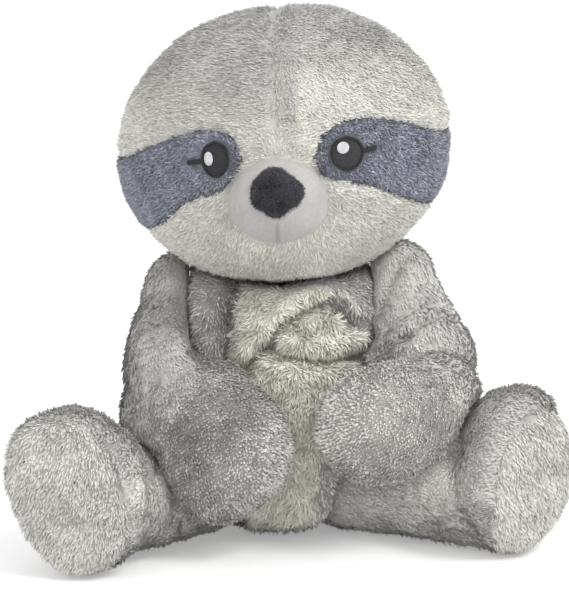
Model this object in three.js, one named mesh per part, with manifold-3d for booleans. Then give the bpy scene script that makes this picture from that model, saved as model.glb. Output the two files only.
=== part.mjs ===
// Weighted plush toy: a seated sloth with a sewn pile cover, fibre filling and bead pouches.
// Millimetres, +Z up. The toy faces -Y, and its own left side is +X.
// The origin is the middle of the flat patch under the seat.

import * as THREE from 'three';
import { mergeVertices } from 'three/addons/utils/BufferGeometryUtils.js';
import Module from 'manifold-3d';

const wasm = await Module();
wasm.setup();
const { Manifold, Mesh: SolidMesh } = wasm;

const point = (x, y, z) => new THREE.Vector3(x, y, z);
const degrees = THREE.MathUtils.degToRad;
const forward = point(0, -1, 0);
const upward = point(0, 0, 1);

// Fabrics and clearances
const coverThickness = 4; // backing cloth and pile together
const velourThickness = 3; // short pile on the muzzle
const linerThickness = 1; // woven cloth of the bead pouches
const gap = 0.3; // between neighbouring pieces
const baseCut = 0.5; // how deep the forms that rest are pressed flat

// Torso
const torsoHeight = 222;
const torsoLean = 8; // how far the top lies behind the seat
const torsoHalfWidths = [88, 92, 84, 75, 64];
const torsoHalfDepths = [72, 76, 69, 60, 50];
const torsoSeatRound = 46;
const torsoTopRound = 58;

// Neck and head
const neckHoleRadius = 30;
const neckHoleLow = 150; // heights that the torso's neck hole is cut between
const neckHoleHigh = 240;
const headHeight = 200;
const headHalfWidth = 119;
const headHalfDepth = 92;
const headCentre = point(2, -10, 283);
const headTurn = -2.6; // degrees about +Z, as the toy sits
const headTilt = -2.7; // degrees about +Y, as the toy sits
const headTurnLimit = 20; // each way from there, about the head's own upright

// Face, measured from the head's centre
const muzzleAside = -1.5; // muzzle and nose sit a little toward the toy's right
const muzzleHalfWidth = 34;
const muzzleHalfHeight = 30;
const muzzleDrop = 26;
const muzzleReach = 116; // from the head's centre to the muzzle's front
const noseHalfWidth = 19;
const noseHalfHeight = 17.5;
const noseDrop = 19.5;
const noseProud = 5; // in front of the muzzle
// Sewn by hand, so the two eyes differ. Each glint is placed from its eye's centre in X and Z:
// both catch the light from the same side.
const eyes = {
  left: {
    side: 1, aside: 47.5, raise: 4.5, halfWidth: 11.5, halfHeight: 12,
    glint: { x: -2.5, z: 4.4, halfWidth: 4.1, halfHeight: 4.1 },
  },
  right: {
    side: -1, aside: 43, raise: 4.2, halfWidth: 9.8, halfHeight: 12.8,
    glint: { x: -4.7, z: 0.6, halfWidth: 3.1, halfHeight: 4.8 },
  },
};
const lashReach = 21; // from the eye's centre to the lash's tip
const lashHalfWidth = 1.7;
const eyeOutlineFacets = 32;
const embroideryThickness = 1.4;
const maskBack = 6; // how far behind the head's middle the mask is sewn in
// Mask outlines in X (outward) and Z, from beside the muzzle over the eye to the side seam and back
const maskPoints = {
  left: [
    [24, 4], [32, 19], [47, 27], [81, 23], [118, 6], [150, -2],
    [150, -52], [112, -49], [96, -41], [63, -21], [44, -15], [31, -11],
  ],
  right: [
    [24, 4], [28, 16], [38, 23], [58, 23], [90, 11], [115, -3], [150, -12],
    [150, -62], [108, -59], [92, -51], [63, -27], [37, -17],
  ],
};
const maskOutlineFacets = 24;

// Arms: the shoulder is a flat disc that turns about an axis along X
const shoulderAside = 66;
const shoulderBack = 2;
const shoulderHeight = 170;
const shoulderRadius = 32;
const armRaiseLimit = 45; // degrees, forward and up from the lap
const armRaiseSteps = 3; // places on the way at which the arm is kept clear of the head
const armRoom = 1.6; // between the arm below its shoulder and the torso
const sleeveHoleRadius = 18;
const sleeveHoleDepth = 14; // each way from the shoulder's flat
const armTopRound = 27;
const elbowRound = 36;
const handRound = 43;
// Sleeves: places along each one, measured from its shoulder outward, back and up, with the half
// widths and half depths there. The left sleeve is folded, so it has an upper arm and a forearm.
const rightSleeve = {
  places: [[-6, 4, 34], [6, -10, -2], [10, -46, -38], [-5, -78, -69], [-30, -100, -94], [-62, -110, -117]],
  halfWidths: [27, 31, 37, 47, 51, 48],
  halfDepths: [27, 32, 35, 34, 32, 29],
};
const leftUpperArm = {
  places: [[4, 4, 36], [18, -12, -4], [35, -52, -58]],
  halfWidths: [27, 35, 44],
  halfDepths: [27, 33, 36],
};
const leftForearm = {
  places: [[64, -48, -56], [36, -78, -65], [0, -98, -71], [-40, -106, -68]],
  halfWidths: [35, 41, 43, 38],
  halfDepths: [32, 35, 33, 29],
};

// Legs: the hip is a ball that turns about an upright axis
const legReach = 108; // hip to ankle
const soleReach = 44; // ankle to sole
const thighHalfHeight = 35;
const legHalfWidths = [36, 37, 38, 46, 50];
const legHalfHeights = [thighHalfHeight, thighHalfHeight, 42, 57, 61];
const rollStart = 0.45; // share of the leg's length where the foot begins to roll outward
const hipRound = 36;
const soleRound = 20;
// How each leg lies: hip aside and forward of the seat's middle, headings of leg and sole in
// degrees outward from straight ahead, and how far the foot rolls outward per unit of height
const legPoses = {
  right: { side: -1, hipAside: 60, hipForward: 34, splay: 44, soleTurn: 5, roll: 0.28 },
  left: { side: 1, hipAside: 50, hipForward: 22, splay: 66, soleTurn: 46, roll: 0.06 },
};
const legTurnLimit = 15; // outward from rest
const legTurnSteps = 2;
const swingSpare = 4.2; // degrees more room at each end of a swing
const facetRoom = 1.6; // lets a facet of one tessellation turn past another's
const hipHoleRadius = 18;
const hipHoleInnerAside = 12; // where the holes' axes end inside the torso
const hipHoleInnerBack = 8;
const soleShare = 0.84; // of the foot's half width and height
const footPouchStart = 0.62;
const footPouchHeight = 62;

// Bead pouch in the torso
const seatPouchHalfWidth = 48;
const seatPouchHalfDepth = 30;
const seatPouchBack = 26; // behind the legs
const seatPouchHeight = 34;
const pouchMouthLength = 24;
const pouchMouthWidth = 3;
const pouchMouthDepth = 8; // through the liner and a little further

// Belly panel and the closing seam in the back
const bellyHalfWidth = 62;
const bellyCrotchHalfWidth = 15;
const bellyBottom = 14;
const bellyTop = 204;
const bellyCrotchHeight = 50; // up to here the panel is as narrow as between the legs
const bellyCornerRound = 8;
const bellyChestRise = 50; // from the widest part to the chest
const bellyChestShare = 0.9; // of the half width
const bellyTopShare = 0.5;
const bellyBack = -44; // the panel reaches back to here under the chin
const bellyOutlineFacets = 26;
const closingSeamLow = 46;
const closingSeamHigh = 104;
const closingSlit = 1.4;
const threadRadius = 0.7;
const stitchReach = 3.2;
const stitchCount = 9;

const farReach = 400; // longer than any piece, for cutting blocks

const looks = {
  grey: { color: 0xa5a29c, roughness: 0.95 },
  cream: { color: 0xcbc7b6, roughness: 0.95 },
  slate: { color: 0x7f828c, roughness: 0.95 },
  velour: { color: 0xcfcac7, roughness: 0.9 },
  black: { color: 0x2e2e31, roughness: 0.9 },
  white: { color: 0xe8e8ec, roughness: 0.6 },
  fibre: { color: 0xf2f1ec, roughness: 1 },
  liner: { color: 0xd8d4c8, roughness: 0.85 },
  beads: { color: 0xbfd0d6, roughness: 0.35 },
};

// Value of a smooth curve through evenly spaced numbers, at a share of its length
function along(values, share) {
  const place = THREE.MathUtils.clamp(share, 0, 1) * (values.length - 1);
  const step = Math.min(Math.floor(place), values.length - 2);
  const t = place - step;
  const pick = (index) => values[THREE.MathUtils.clamp(index, 0, values.length - 1)];
  const [before, here, next, after] = [pick(step - 1), pick(step), pick(step + 1), pick(step + 2)];
  const slopeHere = (next - before) / 2;
  const slopeNext = (after - here) / 2;
  const bend = 2 * t * t * t - 3 * t * t + 1;
  return bend * here + (1 - bend) * next
    + (t * t * t - 2 * t * t + t) * slopeHere + (t * t * t - t * t) * slopeNext;
}

// Centre and directions of the ring at a distance along a form's path
function ringFrame(form, distance) {
  const length = form.path.getLength();
  const share = THREE.MathUtils.clamp(distance / length, 0, 1);
  const tangent = form.path.getTangentAt(share);
  const centre = form.path.getPointAt(share);
  centre.addScaledVector(tangent, distance - share * length);
  const depthAxis = form.facing.clone();
  if (form.endFacing) {
    depthAxis.lerp(form.endFacing, THREE.MathUtils.smoothstep(share, rollStart, 1)).normalize();
  }
  if (!form.upright) depthAxis.addScaledVector(tangent, -depthAxis.dot(tangent)).normalize();
  const widthAxis = new THREE.Vector3().crossVectors(tangent, depthAxis).normalize();
  return { centre, widthAxis, depthAxis, share };
}

// Point of a form's surface: distance along its path, angle round it from its width axis
function surfacePoint(form, distance, angle, grow = 0) {
  const length = form.path.getLength();
  const { centre, widthAxis, depthAxis, share } = ringFrame(form, distance);
  const capShare = (reach, round, plump) => {
    const inward = Math.max(0, 1 - (reach + grow) / (round + grow));
    return Math.pow(Math.max(0, 1 - Math.pow(inward, plump)), 1 / plump);
  };
  const cap = capShare(distance, form.startRound, form.startPlump)
    * capShare(length - distance, form.endRound, form.endPlump);
  const swept = Math.max(0, distance - form.startRound) * Math.tan(degrees(form.swing ?? 0));
  const halfWidth = (along(form.halfWidths, share) + grow + swept) * cap;
  const halfDepth = (along(form.halfDepths, share) + grow) * cap;
  return centre
    .addScaledVector(widthAxis, halfWidth * Math.cos(angle))
    .addScaledVector(depthAxis, halfDepth * Math.sin(angle));
}

// Distances of a form's rings: close together in the rounded caps, even between them
function ringDistances(form, grow) {
  const length = form.path.getLength();
  const distances = [];
  for (let ring = 1; ring < form.capRings; ring++) {
    const share = 1 - Math.cos((ring / form.capRings) * Math.PI / 2);
    distances.push(-grow + (form.startRound + grow) * share);
  }
  const middle = length - form.startRound - form.endRound;
  for (let ring = 0; ring <= form.midRings; ring++) {
    distances.push(form.startRound + (middle * ring) / Math.max(1, form.midRings));
  }
  for (let ring = form.capRings - 1; ring > 0; ring--) {
    const share = 1 - Math.cos((ring / form.capRings) * Math.PI / 2);
    distances.push(length + grow - (form.endRound + grow) * share);
  }
  return distances;
}

// Closed surface of a stuffed form. grow moves all of it outward, or inward below zero.
function stuffedSolid(form, grow = 0, pointAt = surfacePoint) {
  const positions = [];
  const push = (place) => positions.push(place.x, place.y, place.z);
  const distances = ringDistances(form, grow);
  push(ringFrame(form, -grow).centre);
  for (const distance of distances) {
    for (let side = 0; side < form.sides; side++) {
      push(pointAt(form, distance, (side / form.sides) * Math.PI * 2, grow));
    }
  }
  push(ringFrame(form, form.path.getLength() + grow).centre);
  const ringStart = (ring) => 1 + ring * form.sides;
  const last = positions.length / 3 - 1;
  const faces = [];
  for (let side = 0; side < form.sides; side++) {
    const next = (side + 1) % form.sides;
    faces.push(0, side + 1, next + 1);
    for (let ring = 0; ring < distances.length - 1; ring++) {
      const [here, above] = [ringStart(ring), ringStart(ring + 1)];
      faces.push(here + side, above + next, here + next, here + side, above + side, above + next);
    }
    const top = ringStart(distances.length - 1);
    faces.push(last, top + next, top + side);
  }
  const geometry = new THREE.BufferGeometry();
  geometry.setAttribute('position', new THREE.Float32BufferAttribute(positions, 3));
  geometry.setIndex(faces);
  return solidOf(geometry);
}

// Closed three.js geometry as a solid that can be cut and joined
function solidOf(geometry, matrix) {
  geometry.deleteAttribute('normal');
  geometry.deleteAttribute('uv');
  if (matrix) geometry.applyMatrix4(matrix);
  const merged = mergeVertices(geometry, 1e-4);
  return new Manifold(new SolidMesh({
    numProp: 3,
    vertProperties: new Float32Array(merged.attributes.position.array),
    triVerts: new Uint32Array(merged.index.array),
  }));
}

function geometryOf(solid) {
  const mesh = solid.getMesh();
  const geometry = new THREE.BufferGeometry();
  geometry.setAttribute('position', new THREE.BufferAttribute(mesh.vertProperties, 3));
  geometry.setIndex(new THREE.BufferAttribute(mesh.triVerts, 1));
  geometry.computeVertexNormals();
  return geometry;
}

const joined = (solids) => solids.reduce((sum, solid) => sum.add(solid));
const without = (solid, cutters) => cutters.reduce((left, cutter) => left.subtract(cutter), solid);
const moved = (solid, matrix) => solid.transform(matrix.elements);

// Rotation about an axis through a point, in degrees
function turnAbout(pivot, axis, angle) {
  return new THREE.Matrix4().makeTranslation(pivot)
    .multiply(new THREE.Matrix4().makeRotationAxis(axis, degrees(angle)))
    .multiply(new THREE.Matrix4().makeTranslation(pivot.clone().negate()));
}

// Everything on the side of a plane that its direction points to
function halfSpace(through, direction) {
  const block = new THREE.BoxGeometry(2 * farReach, 2 * farReach, farReach);
  const turn = new THREE.Quaternion().setFromUnitVectors(upward, direction.clone().normalize());
  const centre = through.clone().addScaledVector(direction.clone().normalize(), farReach / 2);
  return solidOf(block, new THREE.Matrix4().compose(centre, turn, point(1, 1, 1)));
}

// Round bar between two points
function bar(from, to, radius, sides = 14) {
  const middle = from.clone().add(to).multiplyScalar(0.5);
  const direction = to.clone().sub(from);
  const turn = new THREE.Quaternion().setFromUnitVectors(point(0, 1, 0), direction.clone().normalize());
  const cylinder = new THREE.CylinderGeometry(radius, radius, direction.length(), sides);
  return solidOf(cylinder, new THREE.Matrix4().compose(middle, turn, point(1, 1, 1)));
}

// Prism of an outline drawn in X and Z, from one depth in Y to another
function frontPrism(shape, nearY, farY, curveSegments = 10) {
  const prism = new THREE.ExtrudeGeometry(shape, { depth: farY - nearY, bevelEnabled: false, curveSegments });
  prism.rotateX(Math.PI / 2);
  prism.translate(0, farY, 0);
  return solidOf(prism);
}

// Smooth closed outline through a few points, moved outward by grow
function smoothOutline(points, grow, count) {
  const curve = new THREE.CatmullRomCurve3(points.map(([x, z]) => point(x, 0, z)), true);
  const outline = [];
  for (let step = 0; step < count; step++) {
    const tangent = curve.getTangentAt(step / count);
    const place = curve.getPointAt(step / count);
    outline.push(new THREE.Vector2(place.x + tangent.z * grow, place.z - tangent.x * grow));
  }
  return new THREE.Shape(outline);
}

// Torso form, standing on its seat
const torsoForm = {
  path: new THREE.CatmullRomCurve3([
    point(0, 0, -baseCut), point(0, torsoLean / 4, torsoHeight / 2), point(0, torsoLean, torsoHeight),
  ]),
  facing: forward,
  halfWidths: torsoHalfWidths,
  halfDepths: torsoHalfDepths,
  startRound: torsoSeatRound,
  startPlump: 2.8,
  endRound: torsoTopRound,
  endPlump: 2.2,
  sides: 24,
  capRings: 3,
  midRings: 4,
};

// Head form, about its own centre
const headForm = {
  path: new THREE.LineCurve3(point(0, 0, -headHeight / 2), point(0, 0, headHeight / 2)),
  facing: forward,
  halfWidths: [headHalfWidth, headHalfWidth],
  halfDepths: [headHalfDepth, headHalfDepth],
  startRound: headHeight / 2,
  startPlump: 2.1,
  endRound: headHeight / 2,
  endPlump: 2.05,
  sides: 24,
  capRings: 6,
  midRings: 0,
};

const muzzleForm = {
  path: new THREE.LineCurve3(
    point(muzzleAside, -headHalfDepth / 2, -muzzleDrop), point(muzzleAside, -muzzleReach, -muzzleDrop),
  ),
  facing: upward,
  halfWidths: [muzzleHalfWidth, muzzleHalfWidth],
  halfDepths: [muzzleHalfHeight, muzzleHalfHeight],
  startRound: 6,
  startPlump: 2,
  endRound: 34,
  endPlump: 2.2,
  sides: 18,
  capRings: 4,
  midRings: 1,
};

const noseForm = {
  path: new THREE.LineCurve3(
    point(muzzleAside, -headHalfDepth, -noseDrop), point(muzzleAside, -muzzleReach - noseProud, -noseDrop),
  ),
  facing: upward,
  halfWidths: [noseHalfWidth, noseHalfWidth],
  halfDepths: [noseHalfHeight, noseHalfHeight],
  startRound: 4,
  startPlump: 2,
  endRound: 15,
  endPlump: 2.2,
  sides: 16,
  capRings: 3,
  midRings: 1,
};

const shoulderPoint = (side) => point(side * shoulderAside, shoulderBack, shoulderHeight);

function sleeveForm(side, { places, halfWidths, halfDepths }, startRound, endRound) {
  const shoulder = shoulderPoint(side);
  return {
    path: new THREE.CatmullRomCurve3(places.map(([aside, back, up]) => (
      shoulder.clone().add(point(side * aside, back, up))))),
    facing: forward,
    halfWidths,
    halfDepths,
    startRound,
    startPlump: 2,
    endRound,
    endPlump: 2.3,
    sides: 16,
    capRings: 3,
    midRings: 4,
  };
}

// Arms hang from the shoulders and lie in the lap: the right one straight down, the left one
// folded at the elbow. The hand's bead pouch starts at a share of the last form's length.
const arms = {
  right: {
    side: -1,
    forms: [sleeveForm(-1, rightSleeve, armTopRound, handRound)],
    pouchStart: 0.6,
  },
  left: {
    side: 1,
    forms: [
      sleeveForm(1, leftUpperArm, armTopRound, elbowRound),
      sleeveForm(1, leftForearm, elbowRound, handRound),
    ],
    pouchStart: 0.42,
  },
};

// A leg lies on the floor from the hip to an upright foot whose sole faces away from the seat.
// swing widens it to the room that it needs to turn that many degrees each way.
function legForm({ side, hipAside, hipForward, splay, soleTurn, roll }, swing = 0) {
  const hip = point(side * hipAside, -hipForward, 0);
  const turned = side * swing;
  const heading = (angle) => point(Math.sin(degrees(angle)), -Math.cos(degrees(angle)), 0);
  const outward = heading(side * splay + turned);
  const soleHeading = heading(side * soleTurn + turned);
  const ankle = hip.clone().addScaledVector(outward, legReach);
  const places = [
    hip.clone().addScaledVector(outward, -hipRound),
    hip,
    hip.clone().addScaledVector(outward, legReach / 2),
    ankle,
    ankle.clone().addScaledVector(soleHeading, soleReach),
  ];
  const path = new THREE.CatmullRomCurve3(places.map((place, index) => (
    place.clone().setZ(legHalfHeights[index] - baseCut))));
  return {
    path,
    facing: upward,
    endFacing: point(side * roll, 0, 1).normalize(),
    upright: true,
    halfWidths: legHalfWidths,
    halfDepths: legHalfHeights,
    swing: swing > 0 ? swing + swingSpare : 0,
    startRound: hipRound,
    startPlump: 2,
    endRound: soleRound,
    endPlump: 2.6,
    sides: 18,
    capRings: 3,
    midRings: 4,
    hip,
    side,
    soleCentre: places.at(-1).clone().setZ(legHalfHeights.at(-1) - baseCut),
    soleHeading,
  };
}

const legs = {
  right: legForm(legPoses.right),
  left: legForm(legPoses.left),
};

const headPlace = new THREE.Matrix4().compose(
  headCentre,
  new THREE.Quaternion().setFromEuler(new THREE.Euler(0, degrees(headTilt), degrees(headTurn), 'ZYX')),
  point(1, 1, 1),
);

// Point of the surface that a form sweeps as it turns about its path, by the head's limit each way
function turnedPoint(form, distance, angle, grow) {
  const halfWidth = surfacePoint(form, distance, 0, grow).x;
  const halfDepth = Math.abs(surfacePoint(form, distance, Math.PI / 2, grow).y);
  const fromWidth = Math.atan2(Math.abs(Math.sin(angle)), Math.abs(Math.cos(angle)));
  const nearest = Math.max(0, fromWidth - degrees(headTurnLimit));
  const reach = (halfWidth * halfDepth)
    / Math.hypot(halfDepth * Math.cos(nearest), halfWidth * Math.sin(nearest));
  const outside = reach / Math.cos(Math.PI / form.sides); // the facets stay outside the turned ones
  const height = ringFrame(form, distance).centre.z;
  return point(outside * Math.cos(angle), -outside * Math.sin(angle), height);
}

// Space that the head sweeps as it turns on the neck
function headSweep(grow) {
  return moved(stuffedSolid(headForm, grow, turnedPoint), headPlace);
}

// Space that a thigh sweeps in the torso as it swings outward from rest to its limit
function thighSweep(pose, grow) {
  const half = legTurnLimit / 2;
  return stuffedSolid(legForm(pose, half), grow + facetRoom);
}

// Space that a whole leg sweeps beside and under an arm
function legSweep(leg, grow) {
  const rest = stuffedSolid(leg, grow);
  const turns = [];
  for (let step = 0; step <= legTurnSteps; step++) {
    const angle = (leg.side * legTurnLimit * step) / legTurnSteps;
    turns.push(moved(rest, turnAbout(leg.hip, upward, angle)));
  }
  return joined(turns);
}

// Flat recess in the torso's side where a shoulder turns, smaller by grow
function shoulderRecess(side, grow) {
  const plane = side * (shoulderAside + grow);
  return bar(
    point(plane, shoulderBack, shoulderHeight),
    point(side * farReach / 2, shoulderBack, shoulderHeight),
    shoulderRadius + gap - grow,
    32,
  );
}

// The same form with half the facets, for what lies inside a cover
const packed = (form) => ({ ...form, sides: form.sides / 2 });

// Torso without the room that head and legs need. grow moves its surface as in stuffedSolid.
function torsoBlock(grow, form = torsoForm) {
  const cutters = [headSweep(gap - grow)];
  for (const pose of Object.values(legPoses)) cutters.push(thighSweep(pose, gap - grow));
  for (const arm of Object.values(arms)) cutters.push(shoulderRecess(arm.side, grow));
  return without(stuffedSolid(form, grow), cutters);
}

const floorAt = (height) => halfSpace(point(0, 0, height), point(0, 0, -1));

// Arm pressed against torso, head and legs as it lies, and clear of the head when it is raised
function armBlock(arm, grow) {
  const room = gap - grow;
  const torso = stuffedSolid(torsoForm, room + armRoom).subtract(shoulderRecess(arm.side, room));
  const head = headSweep(room);
  const cutters = [torso];
  for (const leg of Object.values(legs)) cutters.push(legSweep(leg, room + facetRoom));
  for (let step = 0; step <= armRaiseSteps; step++) {
    const raised = (armRaiseLimit * step) / armRaiseSteps;
    cutters.push(moved(head, turnAbout(shoulderPoint(arm.side), point(1, 0, 0), raised)));
  }
  const inner = halfSpace(point(arm.side * (shoulderAside + room), 0, 0), point(-arm.side, 0, 0))
    .intersect(halfSpace(point(0, 0, shoulderHeight - shoulderRadius), upward));
  return without(joined(arm.forms.map((form) => stuffedSolid(form, grow))), [...cutters, inner]);
}

// Slit through which a bead pouch was filled
function pouchMouth(place, direction) {
  const slit = new THREE.BoxGeometry(pouchMouthLength, pouchMouthWidth, pouchMouthDepth);
  const turn = new THREE.Quaternion().setFromUnitVectors(upward, direction.clone().normalize());
  return solidOf(slit, new THREE.Matrix4().compose(place, turn, point(1, 1, 1)));
}

const model = new THREE.Group();

function addPiece(group, name, solid, look) {
  const material = new THREE.MeshStandardMaterial({ ...looks[look], metalness: 0 });
  const mesh = new THREE.Mesh(geometryOf(solid), material);
  mesh.name = name;
  group.add(mesh);
}

function addTorso(group) {
  const floor = floorAt(0);
  const innerFloor = floorAt(coverThickness - baseCut);
  const outer = torsoBlock(0).subtract(floor);
  const inner = torsoBlock(-coverThickness).subtract(innerFloor);
  const openings = [bar(
    point(0, headCentre.y, neckHoleLow), point(0, headCentre.y, neckHoleHigh), neckHoleRadius,
  )];
  for (const { side } of Object.values(arms)) openings.push(sleeveHole(side));
  for (const leg of Object.values(legs)) openings.push(hipHole(leg));
  const backY = torsoHalfDepths[1];
  const seamHeight = closingSeamHigh - closingSeamLow;
  const slit = new THREE.BoxGeometry(closingSlit, backY, seamHeight);
  slit.translate(0, backY, (closingSeamHigh + closingSeamLow) / 2);
  openings.push(solidOf(slit));
  const shell = without(outer.subtract(inner), openings);

  const front = (grow) => frontPrism(bellyOutline(grow), -farReach / 2, bellyBack + grow);
  addPiece(group, 'torso_cover', shell.subtract(front(gap)), 'grey');
  addPiece(group, 'belly_panel', shell.intersect(front(0)), 'cream');

  const pouchBase = coverThickness - baseCut + gap;
  const pillow = (grow) => stuffedSolid(seatPouchForm(pouchBase), grow);
  const cavity = (inset) => torsoBlock(-coverThickness - gap - inset, packed(torsoForm))
    .subtract(floorAt(pouchBase + inset));
  const pouch = (grow) => pillow(grow).intersect(cavity(-grow));
  addPiece(group, 'torso_filling', cavity(0).subtract(pillow(gap)), 'fibre');
  const pouchBackEnd = seatPouchBack + seatPouchHalfDepth;
  const mouth = pouchMouth(point(0, pouchBackEnd, pouchBase + seatPouchHeight / 2), point(0, 1, 0));
  addPiece(group, 'seat_bead_pouch', pouch(0).subtract(pouch(-linerThickness)).subtract(mouth), 'liner');
  addPiece(group, 'seat_beads', pouch(-linerThickness - gap), 'beads');
  addPiece(group, 'back_closing_thread', closingThread(), 'grey');
}

// Flat pillow of beads on the seat
function seatPouchForm(base) {
  return {
    path: new THREE.LineCurve3(
      point(0, seatPouchBack, base - baseCut), point(0, seatPouchBack, base + seatPouchHeight),
    ),
    facing: forward,
    halfWidths: [seatPouchHalfWidth, seatPouchHalfWidth],
    halfDepths: [seatPouchHalfDepth, seatPouchHalfDepth],
    startRound: seatPouchHeight / 2,
    startPlump: 2.6,
    endRound: seatPouchHeight / 2,
    endPlump: 2.6,
    sides: 14,
    capRings: 3,
    midRings: 1,
  };
}

function bellyOutline(grow) {
  const middle = (bellyTop + bellyBottom) / 2;
  const half = [
    [bellyCrotchHalfWidth, bellyBottom + bellyCornerRound],
    [bellyCrotchHalfWidth, bellyBottom + bellyCrotchHeight],
    [bellyHalfWidth, middle],
    [bellyChestShare * bellyHalfWidth, middle + bellyChestRise],
    [bellyTopShare * bellyHalfWidth, bellyTop],
  ];
  const points = [[0, bellyBottom], ...half, ...mirrored(half, -1).reverse()];
  return smoothOutline(points, grow, bellyOutlineFacets);
}

// Ladder stitch that closes the slit in the back, zigzag across it
function closingThread() {
  const places = [];
  for (let stitch = 0; stitch <= stitchCount; stitch++) {
    const height = THREE.MathUtils.lerp(closingSeamLow, closingSeamHigh, stitch / stitchCount);
    const back = surfacePoint(torsoForm, height + baseCut, -Math.PI / 2, gap + threadRadius);
    places.push(point(stitch % 2 ? stitchReach : -stitchReach, back.y, back.z));
  }
  const section = new THREE.Shape();
  section.absarc(0, 0, threadRadius, 0, Math.PI * 2);
  const path = new THREE.CatmullRomCurve3(places, false, 'catmullrom', 0.2);
  return solidOf(new THREE.ExtrudeGeometry(section, {
    extrudePath: path, steps: 3 * stitchCount, curveSegments: 2, bevelEnabled: false,
  }));
}

// Hole through both covers where an arm is sewn on
function sleeveHole(side) {
  return bar(
    point(side * (shoulderAside - sleeveHoleDepth), shoulderBack, shoulderHeight),
    point(side * (shoulderAside + sleeveHoleDepth), shoulderBack, shoulderHeight),
    sleeveHoleRadius,
  );
}

// Hole through both covers where a leg is sewn on
function hipHole(leg) {
  const inwardPoint = point(leg.side * hipHoleInnerAside, hipHoleInnerBack, thighHalfHeight);
  const hipPoint = leg.hip.clone().setZ(thighHalfHeight);
  return bar(inwardPoint, hipPoint, hipHoleRadius);
}

const mirrored = (points, side) => points.map(([x, z]) => [side * x, z]);

// Mask stripe round the eye, wider toward the side seam
function maskOutline(name, side, grow) {
  const points = mirrored(maskPoints[name], side);
  return smoothOutline(side > 0 ? points.reverse() : points, grow, maskOutlineFacets);
}

// Satin-stitched eye: an egg, flatter toward the nose, and one lash that points outward
function eyeOutline({ side, aside, raise, halfWidth, halfHeight }) {
  const inner = -0.92 * halfWidth;
  const points = mirrored([
    [0, halfHeight], [0.72 * halfWidth, 0.66 * halfHeight],
    [halfWidth, 0.16 * halfHeight], [lashReach - 1, lashHalfWidth], [lashReach, 0],
    [lashReach - 1, -lashHalfWidth], [0.98 * halfWidth, -0.22 * halfHeight],
    [0.6 * halfWidth, -0.8 * halfHeight], [0, -halfHeight],
    [0.8 * inner, -0.6 * halfHeight], [inner, 0], [0.8 * inner, 0.7 * halfHeight],
  ].map(([x, z]) => [x + aside, z + raise]), side);
  return smoothOutline(side > 0 ? points : points.reverse(), 0, eyeOutlineFacets);
}

function glintOutline({ side, aside, raise, glint }) {
  const outline = new THREE.Shape();
  outline.absellipse(
    side * aside + glint.x, raise + glint.z, glint.halfWidth, glint.halfHeight, 0, Math.PI * 2,
  );
  return outline;
}

function addHead(group) {
  const outer = stuffedSolid(headForm, 0);
  const neckHole = bar(point(0, 0, -headHeight), point(0, 0, -headHeight / 3), neckHoleRadius);
  const shell = outer.subtract(stuffedSolid(headForm, -coverThickness)).subtract(neckHole);
  const maskCut = (name, grow) => (
    frontPrism(maskOutline(name, eyes[name].side, grow), -farReach / 2, maskBack + grow));
  const cover = without(shell, Object.keys(eyes).map((name) => maskCut(name, gap)));
  for (const [name, eye] of Object.entries(eyes)) {
    const { side } = eye;
    const half = halfSpace(point(side * gap / 2, 0, 0), point(side, 0, 0));
    addPiece(group, `head_cover_${name}`, cover.intersect(half), 'grey');
    addPiece(group, `mask_patch_${name}`, shell.intersect(maskCut(name, 0)), 'slate');
    const satin = (shape, low) => stuffedSolid(headForm, low + embroideryThickness)
      .subtract(stuffedSolid(headForm, low)).intersect(frontPrism(shape, -farReach / 2, 0, 8));
    addPiece(group, `eye_${name}`, satin(eyeOutline(eye), gap), 'black');
    addPiece(group, `eye_glint_${name}`, satin(glintOutline(eye), 2 * gap + embroideryThickness), 'white');
  }
  addPiece(group, 'head_filling', stuffedSolid(packed(headForm), -coverThickness - gap), 'fibre');
  const face = stuffedSolid(headForm, gap);
  const velour = stuffedSolid(muzzleForm, 0).subtract(stuffedSolid(muzzleForm, -velourThickness));
  addPiece(group, 'muzzle_cover', velour.subtract(face), 'velour');
  const muzzleFill = stuffedSolid(muzzleForm, -velourThickness - gap).subtract(face);
  addPiece(group, 'muzzle_filling', muzzleFill, 'fibre');
  const nose = stuffedSolid(noseForm, 0).subtract(stuffedSolid(muzzleForm, gap)).subtract(face);
  addPiece(group, 'nose', nose, 'black');
}

function addArm(group, name, arm) {
  const { side, pouchStart } = arm;
  const form = arm.forms.at(-1);
  const length = form.path.getLength();
  const outer = armBlock(arm, 0);
  const inner = armBlock(arm, -coverThickness);
  addPiece(group, `arm_cover_${name}`, outer.subtract(inner).subtract(sleeveHole(side)), 'grey');
  const cut = ringFrame(form, pouchStart * length);
  const direction = form.path.getTangentAt(pouchStart);
  const beyond = (shift) => halfSpace(cut.centre.clone().addScaledVector(direction, shift), direction);
  const inside = { ...arm, forms: arm.forms.map(packed) };
  const fill = armBlock(inside, -coverThickness - gap);
  addPiece(group, `arm_filling_${name}`, fill.subtract(beyond(-gap)), 'fibre');
  const pouch = fill.intersect(beyond(0));
  const lined = armBlock(inside, -coverThickness - gap - linerThickness).intersect(beyond(linerThickness));
  const mouth = pouchMouth(cut.centre, direction);
  addPiece(group, `hand_bead_pouch_${name}`, pouch.subtract(lined).subtract(mouth), 'liner');
  const beads = armBlock(inside, -coverThickness - 2 * gap - linerThickness)
    .intersect(beyond(linerThickness + gap));
  addPiece(group, `hand_beads_${name}`, beads, 'beads');
}

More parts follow.
